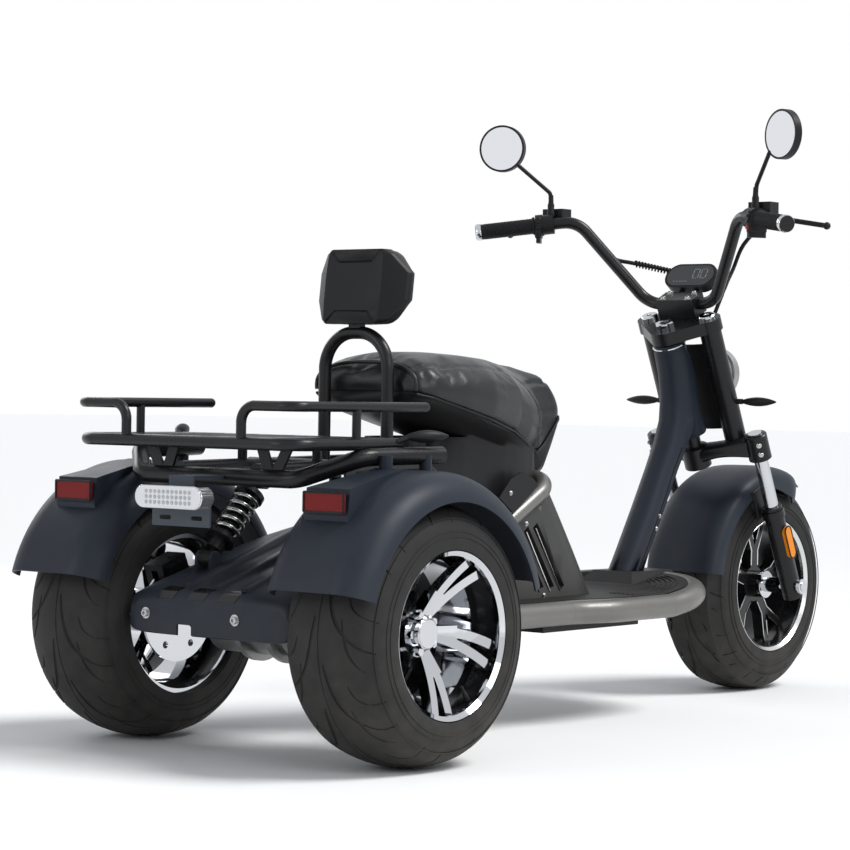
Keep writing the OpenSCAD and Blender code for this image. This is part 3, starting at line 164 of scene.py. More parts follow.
# %% [markdown]
# ## Finishes
# Every surface is a node material on Object coordinates, so a pattern stays on its piece when it moves.
# Three effects come back in many finishes: a slow change of tone, a fine grain that breaks up the gloss,
# and dust that gathers low on the object. Each is a node group that a material uses with its own values.

# %% Tools for node trees
FLOAT, COLOR = "NodeSocketFloat", "NodeSocketColor"


def group(name, inputs, outputs):
    tree = bpy.data.node_groups.new(name, "ShaderNodeTree")
    for label, kind, value in inputs:
        tree.interface.new_socket(label, in_out="INPUT", socket_type=kind).default_value = value
    for label, kind in outputs:
        tree.interface.new_socket(label, in_out="OUTPUT", socket_type=kind)
    return tree, tree.nodes.new("NodeGroupInput"), tree.nodes.new("NodeGroupOutput")


def add(tree, kind, links=(), values=(), **settings):
    made = tree.nodes.new(kind)
    for key, value in settings.items():
        setattr(made, key, value)
    for socket, value in values:
        made.inputs[socket].default_value = value
    for socket, source in links:
        tree.links.new(source, made.inputs[socket])
    return made


def math_node(tree, operation, a, b):
    links = [(i, s) for i, s in enumerate((a, b)) if not isinstance(s, (int, float))]
    values = [(i, s) for i, s in enumerate((a, b)) if isinstance(s, (int, float))]
    return add(tree, "ShaderNodeMath", links, values, operation=operation).outputs[0]


def object_place(tree):
    return add(tree, "ShaderNodeTexCoord").outputs["Object"]


# %% Slow change of tone
tone, tone_in, tone_out = group(
    "slow_tone",
    [("Color", COLOR, (0.1, 0.1, 0.1, 1)), ("Change", FLOAT, 0.2), ("Scale", FLOAT, 6.0)],
    [("Color", COLOR), ("Mask", FLOAT)])
tone_noise = add(tone, "ShaderNodeTexNoise",
                 [("Vector", object_place(tone)), ("Scale", tone_in.outputs["Scale"])], [("Detail", 6)])
tone_mid = math_node(tone, "SUBTRACT", tone_noise.outputs["Fac"], 0.5)
tone_part = math_node(tone, "MULTIPLY", tone_mid, tone_in.outputs["Change"])
tone_gain = math_node(tone, "ADD", tone_part, 1.0)
tone_vec = add(tone, "ShaderNodeVectorMath",
               [(0, tone_in.outputs["Color"]), ("Scale", tone_gain)], operation="SCALE")
tone.links.new(tone_vec.outputs["Vector"], tone_out.inputs["Color"])
tone.links.new(tone_noise.outputs["Fac"], tone_out.inputs["Mask"])

# %% Fine grain
grain, grain_in, grain_out = group(
    "fine_grain",
    [("Scale", FLOAT, 900.0), ("Rough", FLOAT, 0.45), ("Spread", FLOAT, 0.1)],
    [("Height", FLOAT), ("Roughness", FLOAT)])
grain_noise = add(grain, "ShaderNodeTexNoise",
                  [("Vector", object_place(grain)), ("Scale", grain_in.outputs["Scale"])], [("Detail", 3)])
grain_smear = add(grain, "ShaderNodeTexNoise",
                  [("Vector", object_place(grain))], [("Scale", 14), ("Detail", 8)])
grain_mid = math_node(grain, "SUBTRACT", grain_smear.outputs["Fac"], 0.5)
grain_part = math_node(grain, "MULTIPLY", grain_mid, grain_in.outputs["Spread"])
grain_sum = math_node(grain, "ADD", grain_part, grain_in.outputs["Rough"])
grain.links.new(grain_noise.outputs["Fac"], grain_out.inputs["Height"])
grain.links.new(grain_sum, grain_out.inputs["Roughness"])

# %% Dust that lies low
dust, dust_in, dust_out = group(
    "low_dust",
    [("Color", COLOR, (0.1, 0.1, 0.1, 1)), ("Dust", COLOR, (0.16, 0.145, 0.125, 1)),
     ("Amount", FLOAT, 0.3), ("Top", FLOAT, 0.4)],
    [("Color", COLOR), ("Mask", FLOAT)])
dust_xyz = add(dust, "ShaderNodeSeparateXYZ", [(0, object_place(dust))])
dust_share = math_node(dust, "DIVIDE", dust_xyz.outputs["Z"], dust_in.outputs["Top"])
dust_fall = add(dust, "ShaderNodeMath", [(1, dust_share)], [(0, 1.0)], operation="SUBTRACT", use_clamp=True)
dust_noise = add(dust, "ShaderNodeTexNoise", [("Vector", object_place(dust))], [("Scale", 26), ("Detail", 9)])
dust_patch = math_node(dust, "MULTIPLY", dust_fall.outputs[0], dust_noise.outputs["Fac"])
dust_mask = math_node(dust, "MULTIPLY", dust_patch, dust_in.outputs["Amount"])
dust_mix = add(dust, "ShaderNodeMix",
               [(0, dust_mask), (6, dust_in.outputs["Color"]), (7, dust_in.outputs["Dust"])], data_type="RGBA")
dust.links.new(dust_mix.outputs[2], dust_out.inputs["Color"])
dust.links.new(dust_mask, dust_out.inputs["Mask"])
print("node groups:", [g.name for g in bpy.data.node_groups])

# %% One recipe for the plain finishes
def finish(name, color, rough, metal=0.0, change=0.25, tone_scale=6.0, grain_scale=900.0, bump=0.0003,
           spread=0.12, dusty=0.0, dust_top=0.4, coat=0.0, gloss=0.2):
    made = bpy.data.materials.new(name)
    made.use_nodes = True
    tree = made.node_tree
    shader = tree.nodes["Principled BSDF"]
    for socket, value in (("Metallic", metal), ("Coat Weight", coat), ("Specular IOR Level", gloss)):
        shader.inputs[socket].default_value = value
    tone_values = [("Color", (*color, 1)), ("Change", change), ("Scale", tone_scale)]
    paint = add(tree, "ShaderNodeGroup", (), tone_values, node_tree=tone).outputs["Color"]
    if dusty:
        paint = add(tree, "ShaderNodeGroup", [("Color", paint)], [("Amount", dusty), ("Top", dust_top)],
                    node_tree=dust).outputs["Color"]
    tree.links.new(paint, shader.inputs["Base Color"])
    grain_values = [("Scale", grain_scale), ("Rough", rough), ("Spread", spread)]
    grained = add(tree, "ShaderNodeGroup", (), grain_values, node_tree=grain)
    tree.links.new(grained.outputs["Roughness"], shader.inputs["Roughness"])
    if bump:
        lift = add(tree, "ShaderNodeBump", [("Height", grained.outputs["Height"])],
                   [("Strength", 0.4), ("Distance", bump)])
        tree.links.new(lift.outputs["Normal"], shader.inputs["Normal"])
    return made


slate_plastic = finish(
    "slate_plastic", (0.016, 0.0215, 0.032), 0.44, change=0.3, dusty=0.2, dust_top=0.5, spread=0.2)
frame_grey = finish(
    "frame_grey", (0.20, 0.195, 0.185), 0.34, metal=0.6, dusty=0.3, dust_top=0.35, grain_scale=1600)
body_grey = finish(
    "body_grey", (0.060, 0.060, 0.058), 0.40, metal=0.3, dusty=0.3, dust_top=0.4, grain_scale=1600)
frame_black = finish(
    "frame_black", (0.008, 0.008, 0.009), 0.28, change=0.2, dusty=0.1, grain_scale=1400, gloss=0.3)
black_plastic = finish("black_plastic", (0.011, 0.011, 0.012), 0.42, change=0.2, dusty=0.12)
chrome = finish("chrome", (0.62, 0.63, 0.65), 0.06, metal=1.0, change=0.06, bump=0.0, spread=0.08)
alloy = finish("motor_alloy", (0.36, 0.36, 0.36), 0.36, metal=0.95, dusty=0.3, dust_top=0.5, grain_scale=500)
rim_black = finish("rim_black", (0.008, 0.008, 0.009), 0.20, change=0.15, coat=0.2, bump=0.0, gloss=0.3)
rubber = finish("rubber", (0.010, 0.010, 0.011), 0.58, change=0.25, dusty=0.25, dust_top=0.5)
tyre_rubber = finish(
    "tyre_rubber", (0.013, 0.0135, 0.0145), 0.62, change=0.3, dusty=0.35, dust_top=0.55, grain_scale=700)
leather = finish(
    "leather", (0.010, 0.0105, 0.0115), 0.32, change=0.25, grain_scale=420, bump=0.0007, spread=0.2, gloss=0.42)
red_lens = finish("red_lens", (0.17, 0.008, 0.008), 0.18, coat=0.6, bump=0.0)
amber_lens = finish("amber_lens", (0.78, 0.24, 0.005), 0.18, coat=0.15, bump=0.0)
clear_lens = finish("clear_lens", (0.46, 0.48, 0.50), 0.10, coat=0.6, bump=0.0)
mirror_silver = finish(
    "mirror_silver", (0.92, 0.92, 0.94), 0.02, metal=1.0, change=0.02, bump=0.0, spread=0.02)
satin_steel = finish(
    "satin_steel", (0.46, 0.46, 0.46), 0.24, metal=1.0, change=0.15, grain_scale=1800, bump=0.0001)

# %% Hand the finishes to the CAD pieces
slot_finish = {
    "slate_plastic": slate_plastic, "frame_grey": frame_grey, "frame_black": frame_black,
    "black_plastic": black_plastic, "chrome": chrome, "motor_alloy": alloy, "rim_black": rim_black,
    "rubber": rubber, "tyre": tyre_rubber, "leather": leather, "red_lens": red_lens,
    "amber_lens": amber_lens, "clear_lens": clear_lens, "mirror": mirror_silver,
}
slot_of = {part["node"]: part["material_slot"] for part in frame["record"]["subparts"]}
for name, slot in slot_of.items():
    nodes[name].data.materials.clear()
    nodes[name].data.materials.append(slot_finish[slot])
for name in ("body_left", "body_right"):
    nodes[name].data.materials[0] = body_grey
floor.data.materials.append(finish("floor_paper", (0.97, 0.97, 0.965), 0.8, change=0.02, bump=0.0))
print("finishes:", len(bpy.data.materials))

# %% [markdown]
# ## Ways of working that come back
# Places are easiest to give as on a drawing: millimetres ahead of the rear axle, to the left, and above the
# ground. One helper turns such a place into the frame's metres. Another finishes a piece: its transform
# goes into the mesh, its faces point outwards, its edges are smoothed by angle, and it gets its material
# and the body it moves with.

# %% Places and finishing
REAR_AXLE = -0.776          # metres along the frame
AXLE_HEIGHT = 238           # all other places are in millimetres
WHEEL_SIDE = 320
FRONT_WHEEL = 1592
REAR_TYRE_HALF, FRONT_TYRE_HALF = 107.5, 85


def at(x, y, z):
    return Vector((REAR_AXLE + x / 1000, y / 1000, z / 1000))


def pick(obj):
    deselect()
    obj.select_set(True)
    bpy.context.view_layer.objects.active = obj


def in_edit(obj):
    pick(obj)
    bpy.ops.object.mode_set(mode="EDIT")
    bpy.ops.mesh.select_all(action="SELECT")


def out_edit():
    bpy.ops.object.mode_set(mode="OBJECT")


def settle(obj, name, body, material, angle=35, replaced=(), weld=0.00002):
    obj.name = name
    pick(obj)
    bpy.ops.object.transform_apply(location=True, rotation=True, scale=True)
    in_edit(obj)
    bpy.ops.mesh.remove_doubles(threshold=weld)
    bpy.ops.mesh.normals_make_consistent(inside=False)
    out_edit()
    bpy.ops.object.shade_smooth_by_angle(angle=radians(angle))
    obj.data.materials.clear()
    obj.data.materials.append(material)
    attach(obj, body)
    if replaced:
        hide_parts(*replaced)
    return obj


def apply_modifier(obj, kind, **settings):
    pick(obj)
    made = obj.modifiers.new(kind.lower(), kind)
    for key, value in settings.items():
        setattr(made, key, value)
    bpy.ops.object.modifier_apply(modifier=made.name)


def from_points(name, points, faces):
    mesh = bpy.data.meshes.new(name)
    mesh.from_pydata([tuple(p) for p in points], [], faces)
    made = bpy.data.objects.new(name, mesh)
    bpy.context.collection.objects.link(made)
    return made


def loft(name, rings):
    """Skins rings of equal count, one after another, and caps the first and the last."""
    n = len(rings[0])
    faces = [[i * n + k, i * n + (k + 1) % n, (i + 1) * n + (k + 1) % n, (i + 1) * n + k]
             for i in range(len(rings) - 1) for k in range(n)]
    faces += [list(range(n)), list(range(len(rings) * n - 1, len(rings) * n - n - 1, -1))]
    return from_points(name, [p for row in rings for p in row], faces)


def spun(points, centre, axis, steps, weld):
    """A closed section, spun once round an axis and welded where it meets itself."""
    deselect()
    bpy.ops.mesh.primitive_circle_add(vertices=len(points), radius=0.1, location=(0, 0, 0))
    made = bpy.context.object
    for v, p in zip(made.data.vertices, points):
        v.co = p
    in_edit(made)
    bpy.ops.mesh.spin(steps=steps, angle=2 * pi, center=centre, axis=axis)
    bpy.ops.mesh.select_all(action="SELECT")
    bpy.ops.mesh.remove_doubles(threshold=weld)
    out_edit()
    return made


def turn_outward(obj):
    in_edit(obj)
    bpy.ops.mesh.normals_make_consistent(inside=False)
    out_edit()


def tube(name, points, radius, sides=10, cyclic=False, radii=None):
    """A round bar along points, made as a bevelled curve and turned into a mesh."""
    curve = bpy.data.curves.new(name, "CURVE")
    curve.dimensions = "3D"
    curve.bevel_depth = radius
    curve.bevel_resolution = max(0, sides // 4 - 1)
    curve.use_fill_caps = True
    spline = curve.splines.new("POLY")
    spline.points.add(len(points) - 1)
    for i, p in enumerate(points):
        spline.points[i].co = (*p, 1)
        spline.points[i].radius = radii[i] if radii else 1
    spline.use_cyclic_u = cyclic
    made = bpy.data.objects.new(name, curve)
    bpy.context.collection.objects.link(made)
    pick(made)
    bpy.ops.object.convert(target="MESH")
    return bpy.context.object


def joined(pieces):
    pick(pieces[0])
    for piece in pieces:
        piece.select_set(True)
    bpy.ops.object.join()
    return bpy.context.object


def smooth_curve(points, steps):
    """Points along a smooth path through those given."""
    made = []
    last = len(points) - 1
    for i in range(last):
        a, b, c, d = (Vector(points[max(0, min(last, j))]) for j in (i - 1, i, i + 1, i + 2))
        for k in range(steps):
            t = k / steps
            made.append(0.5 * (2 * b + (c - a) * t + (2 * a - 5 * b + 4 * c - d) * t * t
                               + (3 * b - a - 3 * c + d) * t * t * t))
    return made + [Vector(points[last])]


def mirrored(obj):
    """A copy on the other side of the object's middle plane, with its own mesh."""
    copy = obj.copy()
    copy.data = obj.data.copy()
    bpy.context.collection.objects.link(copy)
    in_edit(copy)
    bpy.ops.transform.mirror(constraint_axis=(False, True, False), center_override=(0, 0, 0))
    bpy.ops.mesh.normals_make_consistent(inside=False)
    out_edit()
    return copy


tyre_low, tyre_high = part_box("front_tyre")
print("wheelbase in the frame:", round((tyre_low.x + tyre_high.x) / 2 - REAR_AXLE, 3))

# %% [markdown]
# ## Smooth copies of the lofted pieces
# The down tube, body halves, axle cover, springs and hoses were lofted in flat facets. On the real object
# they are moulded or wound, without a facet to be seen. A copy of the CAD mesh is welded and shaded smooth,
# which keeps its form exactly.

# %% Smooth copies
def cad_copy(node, name):
    copy = bpy.data.objects.new(name, nodes[node].data.copy())
    bpy.context.collection.objects.link(copy)
    copy.data.materials.clear()
    return copy


def smooth_copy(node, name, material, angle=40, body="chassis"):
    copy = cad_copy(node, name)
    in_edit(copy)
    bpy.ops.mesh.remove_doubles(threshold=0.00005)
    out_edit()
    bpy.ops.object.shade_smooth_by_angle(angle=radians(angle))
    if angle < 60:
        # large flat faces rule the shading, so that the slim triangles beside them don't dent it
        apply_modifier(copy, "WEIGHTED_NORMAL", keep_sharp=True, weight=80)
    copy.data.materials.append(material)
    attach(copy, body)
    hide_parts(node)
    return copy


smooth_copy("down_tube", "down_tube_skin", slate_plastic)
smooth_copy("body_left", "body_shell_left", body_grey, 32)
smooth_copy("body_right", "body_shell_right", body_grey, 32)
cover = smooth_copy("axle_cover", "axle_cover_skin", slate_plastic, 32)
smooth_copy("shock_springs", "coil_springs", satin_steel, 80)
smooth_copy("control_hoses", "hoses", rubber, 80, body="fork")

# %% [markdown]
# ## Tyres
# The tyres are low and wide, with a smooth tread cut by long curved grooves and a thin line round the
# middle. The grooves could be painted, but they catch the light at the edge, so they are cut: the section
# is spun round the axle, groove tubes are laid on the tread, and one Boolean takes them all away. The rear
# tyre is cut once and copied.

# %% Tyre section and spin
TYRE_R, BEAD_R, SHOULDER_R, CROWN_R = 238, 152, 75, 210


def tyre_section(half_w):
    """Section from bead to bead, given as across and out from the axle, in millimetres."""
    sy, sx, cx = half_w - SHOULDER_R, TYRE_R - SHOULDER_R + 2, TYRE_R - CROWN_R
    side = []
    for deg in (-11, -4, 4, 12, 20, 28, 36, 44):
        a = radians(deg)
        side.append((sy + SHOULDER_R * cos(a), sx + SHOULDER_R * sin(a)))
    edge = side[-1][0]
    tread = [(edge * k / 8, cx + sqrt(CROWN_R ** 2 - (edge * k / 8) ** 2)) for k in range(7, -8, -1)]
    outer = side + tread + [(-y, r) for y, r in reversed(side)]
    inner = [(-side[0][0] + 14, BEAD_R + 0.5), (side[0][0] - 14, BEAD_R + 0.5)]
    return outer + inner


def spun_tyre(centre, half_w):
    points = [Vector((0, y / 1000, r / 1000)) + centre for y, r in tyre_section(half_w)]
    made = spun(points, centre, (0, 1, 0), 144, 0.00005)
    turn_outward(made)
    return made


# %% Tread grooves
def tread_radius(y, half_w):
    on_crown = TYRE_R - CROWN_R + sqrt(CROWN_R ** 2 - y ** 2)
    past = max(0, abs(y) - (half_w - SHOULDER_R))
    return min(on_crown, TYRE_R - SHOULDER_R + 2 + sqrt(max(0, SHOULDER_R ** 2 - past ** 2)))


def on_tread(angle, y, centre, half_w):
    r = tread_radius(y, half_w) / 1000
    return centre + Vector((-r * sin(angle), y / 1000, r * cos(angle)))


def groove(centre, half_w, start, sweep, y0, y1, y2, thick):
    """One groove: runs along the tread from y0 to y1, then bends out to y2."""
    points, radii = [], []
    for k in range(21):
        t = k / 20
        y = y0 + (y1 - y0) * t + (y2 - y1) * t ** 4
        points.append(on_tread(start + sweep * t, y, centre, half_w))
        radii.append(0.25 + 0.75 * sin(pi * min(1, 0.12 + t * 0.8)))
    return tube("groove", points, thick, 8, radii=radii)


def cut_tread(tyre, centre, half_w):
    cutters = []
    turns, w = 9, half_w / REAR_TYRE_HALF
    for k in range(turns):
        a = 2 * pi * k / turns
        for side in (-1, 1):
            b = a + (0 if side > 0 else pi / turns)
            # turn after the first groove, sweep, three places across, thickness
            for later, sweep, y0, y1, y2, thick in (
                    (0, 0.62, 9, 34, 98, 0.0042), (0.36, 0.40, 46, 62, 86, 0.0032),
                    (0.16, 0.20, 52, 66, 100, 0.0026)):
                cutters.append(groove(centre, half_w, b + later, sweep,
                                      side * y0 * w, side * y1 * w, side * y2 * w, thick))
    middle = [on_tread(2 * pi * k / 144, 0, centre, half_w) for k in range(144)]
    cutters.append(tube("groove", middle, 0.0016, 8, cyclic=True))
    cutter = joined(cutters)
    apply_modifier(tyre, "BOOLEAN", operation="DIFFERENCE", object=cutter, solver="EXACT", use_self=True)
    bpy.data.objects.remove(cutter)


# %% Side ribs and the three tyres
def side_ribs(centre, half_w):
    """Fine raised rings that every moulded sidewall has near the rim and under the shoulder."""
    made = []
    for r, y, thick in ((173, 0.998, 0.0011), (182, 0.985, 0.0008), (205, 0.905, 0.0012)):
        for side in (-1, 1):
            across = side * half_w * y / 1000
            line = [centre + Vector((sin(a) * r / 1000, across, cos(a) * r / 1000))
                    for a in (2 * pi * k / 144 for k in range(144))]
            made.append(tube("rib", line, thick, 8, cyclic=True))
    return made


def fitted_tyre(name, node, body, centre, half_w):
    tyre = spun_tyre(centre, half_w)
    cut_tread(tyre, centre, half_w)
    tyre = joined([tyre] + side_ribs(centre, half_w))
    return settle(tyre, name, body, tyre_rubber, 38, (node,), 0.000002)


rear_right = fitted_tyre("rear_tyre_right_tread", "rear_tyre_right", "rear_wheel_right",
                         at(0, -WHEEL_SIDE, AXLE_HEIGHT), REAR_TYRE_HALF)
rear_left = mirrored(rear_right)
settle(rear_left, "rear_tyre_left_tread", "rear_wheel_left", tyre_rubber, 38, ("rear_tyre_left",),
       0.000002)
front = fitted_tyre("front_tyre_tread", "front_tyre", "front_wheel",
                    at(FRONT_WHEEL, 0, AXLE_HEIGHT), FRONT_TYRE_HALF)
print("tyre faces:", len(rear_right.data.polygons), len(front.data.polygons))

# %% [markdown]
# ## Saddle
# The saddle is foam under stretched leather: a wide rear, a narrow pommel, and an edge that dips to the
# front and rises round the nose. Its sections are lofted from the same places as the CAD solid, remeshed
# evenly, and blown up a little with Cloth pressure, the way foam fills a cover. The seams and stitches come
# after that.

# %% Sections of the saddle
# place along the saddle, half width, underside, top, boxiness of the upper half
saddle_rows = [
    (250, 104, 642, 694, 2.4), (258, 127, 624, 721, 2.5), (290, 149, 612, 733, 2.6),
    (380, 161, 590, 735, 2.7), (460, 164, 570, 732, 2.7), (560, 147, 547, 726, 2.6),
    (650, 104, 527, 716, 2.4), (720, 63, 511, 711, 2.2), (780, 42, 497, 706, 2.1),
    (802, 34, 499, 701, 2.1), (830, 25, 540, 687, 2.0), (855, 16, 582, 661, 2.0),
    (866, 8, 612, 637, 2.0),
]


def saddle_at(x):
    for a, b in zip(saddle_rows, saddle_rows[1:]):
        if a[0] <= x <= b[0]:
            t = (x - a[0]) / (b[0] - a[0])
            return [p + (q - p) * t for p, q in zip(a[1:], b[1:])]
    return list(saddle_rows[-1][1:])


def seam_height(x):
    return max(662 - tan(radians(13.3)) * (x - 250), 546 + tan(radians(31)) * (x - 745))


def signed_power(v, p):
    return copysign(abs(v) ** p, v)


def saddle_point(x, angle):
    half_w, low, high, boxy = saddle_at(x)
    p = 2 / (boxy if sin(angle) > 0 else 2.3)
    return (half_w * signed_power(cos(angle), p),
            (low + high) / 2 + (high - low) / 2 * signed_power(sin(angle), p))


def seam_angle(x, lift=0.0):
    """Angle on the section at which its side meets the seam, found by halving."""
    lo, hi = radians(-89), radians(89)
    for _ in range(30):
        mid = (lo + hi) / 2
        lo, hi = (mid, hi) if saddle_point(x, mid)[1] < seam_height(x) + lift else (lo, mid)
    return (lo + hi) / 2


# %% Loft, remesh and fill the cushion
def inflate(pad, voxel, pressure, cap, held):
    """Even remesh, then Cloth pressure, with no point moved further than the cap and the held points kept."""
    apply_modifier(pad, "REMESH", mode="VOXEL", voxel_size=voxel)
    apply_modifier(pad, "SMOOTH", factor=0.5, iterations=4)
    before = [v.co.copy() for v in pad.data.vertices]
    pins = pad.vertex_groups.new(name="held")
    pins.add([v.index for v in pad.data.vertices if held(v.co)], 1.0, "REPLACE")
    pick(pad)
    cloth = pad.modifiers.new("fill", "CLOTH")
    cloth.settings.use_pressure = True
    cloth.settings.uniform_pressure_force = pressure
    cloth.settings.effector_weights.gravity = 0
    cloth.settings.vertex_group_mass = "held"
    for f in range(1, 21):
        bpy.context.scene.frame_set(f)
    bpy.ops.object.modifier_apply(modifier=cloth.name)
    bpy.context.scene.frame_set(1)
    for v, old in zip(pad.data.vertices, before):
        move = v.co - old
        if move.length > cap:
            v.co = old + move * (cap / move.length)
    pad.vertex_groups.clear()
    apply_modifier(pad, "SMOOTH", factor=0.5, iterations=3)


rings = []
for k in range(49):
    x = 250 + 616 * k / 48
    low = seam_angle(x)
    places = [saddle_point(x, low + (pi - 2 * low) * j / 32) for j in range(33)]
    rings.append([at(x, y * 0.985, z - 2) for y, z in places])
cushion = loft("saddle_cushion", rings)
inflate(cushion, 0.005, 3.0, 0.006, lambda p: p.z * 1000 < seam_height((p.x - REAR_AXLE) * 1000) + 8)
print("cushion faces:", len(cushion.data.polygons))

# %% [markdown]
# Sewn seams pull the cover down into the foam. Points near a seam line are pressed in, deepest on the line,
# and a row of stitches follows it. One seam runs along the top edge and down the nose, one crosses the
# pommel.

# %% Seams and stitches
def press_seam(pad, line, reach, depth):
    for v in pad.data.vertices:
        near = min((v.co - p).length for p in line)
        if near < reach:
            v.co -= v.normal * depth * (1 - near / reach) ** 2


def stitches(pad, line, every, aside):
    made = []
    step = 0.0
    for a, b in zip(line, line[1:]):
        step += (b - a).length
        if step < every:
            continue
        step = 0.0
        _, spot, normal, _ = pad.closest_point_on_mesh((a + b) / 2)
        run = (b - a).normalized()
        side = run.cross(normal).normalized() * aside
        at_spot = spot + side + normal * 0.0004
        made.append(tube("stitch", [at_spot - run * every * 0.32 - normal * 0.0006, at_spot,
                                    at_spot + run * every * 0.32 - normal * 0.0006], 0.0007, 4))
    return made


def on_pad(pad, points, steps=14):
    return [pad.closest_point_on_mesh(p)[1] for p in smooth_curve(points, steps)]


seams = []
for side in (-1, 1):
    for places in (((262, 118, 722), (330, 132, 724), (430, 134, 722), (530, 116, 716), (600, 90, 702),
                    (655, 62, 664), (700, 52, 632), (733, 42, 586), (750, 30, 560)),
                   ((655, 62, 664), (700, 42, 678), (760, 22, 682), (800, 10, 680), (822, 0, 690))):
        seams.append(on_pad(cushion, [at(x, side * y, z) for x, y, z in places]))
for line in seams:
    press_seam(cushion, line, 0.011, 0.0035)
apply_modifier(cushion, "SUBSURF", levels=1, render_levels=1)
thread = [s for line in seams for s in stitches(cushion, line, 0.0065, 0.0035)]
settle(joined(thread), "saddle_stitches", "chassis", leather)
settle(cushion, "saddle_cushion", "chassis", leather, 60, ("seat_cushion",))

# %% Piping and the lip of the pan
def seam_line(grow, lift, x0, x1, count):
    """Right side from the rear to the nose along the seam, then back along the left."""
    right = []
    for k in range(count + 1):
        x = x0 + (x1 - x0) * k / count
        y, z = saddle_point(x, seam_angle(x, lift))
        right.append(at(x, -(y + grow), z))
    return right + [Vector((p.x, -p.y, p.z)) for p in reversed(right)]


arch_x = 257
arch_low = seam_angle(arch_x, 4)
arch = [at(arch_x, *saddle_point(arch_x, arch_low + (pi - 2 * arch_low) * k / 40)) for k in range(41)]
settle(tube("arch_piping", arch, 0.0038, 12), "saddle_piping", "chassis", leather, 60)
lip = seam_line(0.6, -3, 258, 864, 60)
settle(tube("pan_lip", lip, 0.0030, 12), "saddle_pan_lip", "chassis", black_plastic, 60)
smooth_copy("seat_pan", "saddle_pan", black_plastic, 32)
print("seam length of one side, mm:", round(sum((b - a).length for a, b in zip(lip[:61], lip[1:61])) * 1000))

# %% [markdown]
# ## Backrest
# The backrest is a moulded shell with folded sides and a padded leather front. The shell's back carries two
# shallow pressed trapezoids. The CAD solid already has the folds, so a copy is bevelled and cut, and the
# leather front is a roll of its own, filled like the saddle.

# %% Shell and pad of the backrest
pad_low, pad_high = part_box("backrest_pad")
fold_x = pad_low.x + 0.036
shell = cad_copy("backrest_pad", "backrest_shell")
in_edit(shell)
bpy.ops.mesh.remove_doubles(threshold=0.00005)
bpy.ops.mesh.dissolve_limited(angle_limit=radians(2))
out_edit()
apply_modifier(shell, "BEVEL", width=0.005, segments=3, limit_method="ANGLE", angle_limit=radians(18))


def back_x(z):
    return pad_low.x + 0.0087 + (z - (pad_low.z + pad_high.z) / 2) * tan(radians(7))


cutters = []
for end, way in ((pad_high.z, -1), (pad_low.z, 1)):
    line = [(-0.066, end - way * 0.004), (-0.040, end + way * 0.024),
            (0.040, end + way * 0.024), (0.066, end - way * 0.004)]
    cutters.append(tube("pressing", [Vector((back_x(z) - 0.0004, y, z)) for y, z in line], 0.0024, 8))
apply_modifier(shell, "BOOLEAN", operation="DIFFERENCE", object=joined(cutters), solver="EXACT")
for left_over in [o for o in bpy.data.objects if o.name.startswith("pressing")]:
    bpy.data.objects.remove(left_over)
settle(shell, "backrest_shell", "chassis", black_plastic, 32, ("backrest_pad",))

# %% Leather roll round the front of the backrest
mid = (pad_low + pad_high) / 2
shape = [(0.50, 0.18), (0.36, 0.44), (0.29, 0.50), (0.0, 0.50), (-0.29, 0.50), (-0.36, 0.44), (-0.50, 0.18),
         (-0.50, -0.18), (-0.36, -0.44), (-0.29, -0.50), (0.0, -0.50), (0.29, -0.50), (0.36, -0.44),
         (0.50, -0.18)]
rolls = []
pad_w, pad_h = 0.216, 0.142
for ahead, share in ((0.030, 0.97), (0.036, 0.995), (0.044, 1.0), (0.052, 0.985), (0.060, 0.93),
                     (0.064, 0.80)):
    rolls.append([Vector((pad_low.x + 0.0087 + ahead + h * pad_h * tan(radians(7)),
                          w * pad_w * share, mid.z + h * pad_h * share)) for w, h in shape])
front_pad = loft("backrest_pad_front", rolls)
turn_outward(front_pad)
inflate(front_pad, 0.004, 3.0, 0.005, lambda p: p.x < fold_x)
apply_modifier(front_pad, "SUBSURF", levels=1, render_levels=1)
settle(front_pad, "backrest_pad_front", "chassis", leather, 60)
print("backrest faces:", len(shell.data.polygons), len(front_pad.data.polygons))

# %% [markdown]
# ## Tools for fittings
# Most fittings are turned on a lathe, bent from strip or pressed from sheet, and they are made here the
# same way: a section spun round an axis, a bar along a line, a sheet given its thickness, a block with
# rounded edges.

# %% Turned, ringed, pressed and rounded
def turned(section, place, direction, steps=32):
    """Spins a closed section, given as (out, along) pairs in millimetres, round an axis through a place."""
    axis = Vector(direction).normalized()
    out = axis.orthogonal().normalized()
    return spun([place + (out * r + axis * h) / 1000 for r, h in section], place, axis, steps, 0.00001)


def ring(place, direction, radius, thick, count=40):
    axis = Vector(direction).normalized()
    a = axis.orthogonal().normalized()
    b = axis.cross(a)
    turns = [2 * pi * k / count for k in range(count)]
    return tube("ring", [place + (a * cos(t) + b * sin(t)) * radius / 1000 for t in turns],
                thick / 1000, 8, cyclic=True)


def screw(place, direction, r, h):
    """A round head with a washer under it and a socket in its top."""
    return turned([(0, 0), (1.5 * r, 0), (1.5 * r, 0.2 * h), (r, 0.2 * h), (r, 0.85 * h), (0.85 * r, h),
                   (0.5 * r, h), (0.45 * r, 0.5 * h), (0, 0.5 * h)], place, direction, 20)


def nut(place, direction, r, h):
    return turned([(0, 0), (r, 0), (r, 0.85 * h), (0.88 * r, h), (0.55 * r, h), (0.5 * r, 0.8 * h),
                   (0, 0.8 * h)], place, direction, 6)


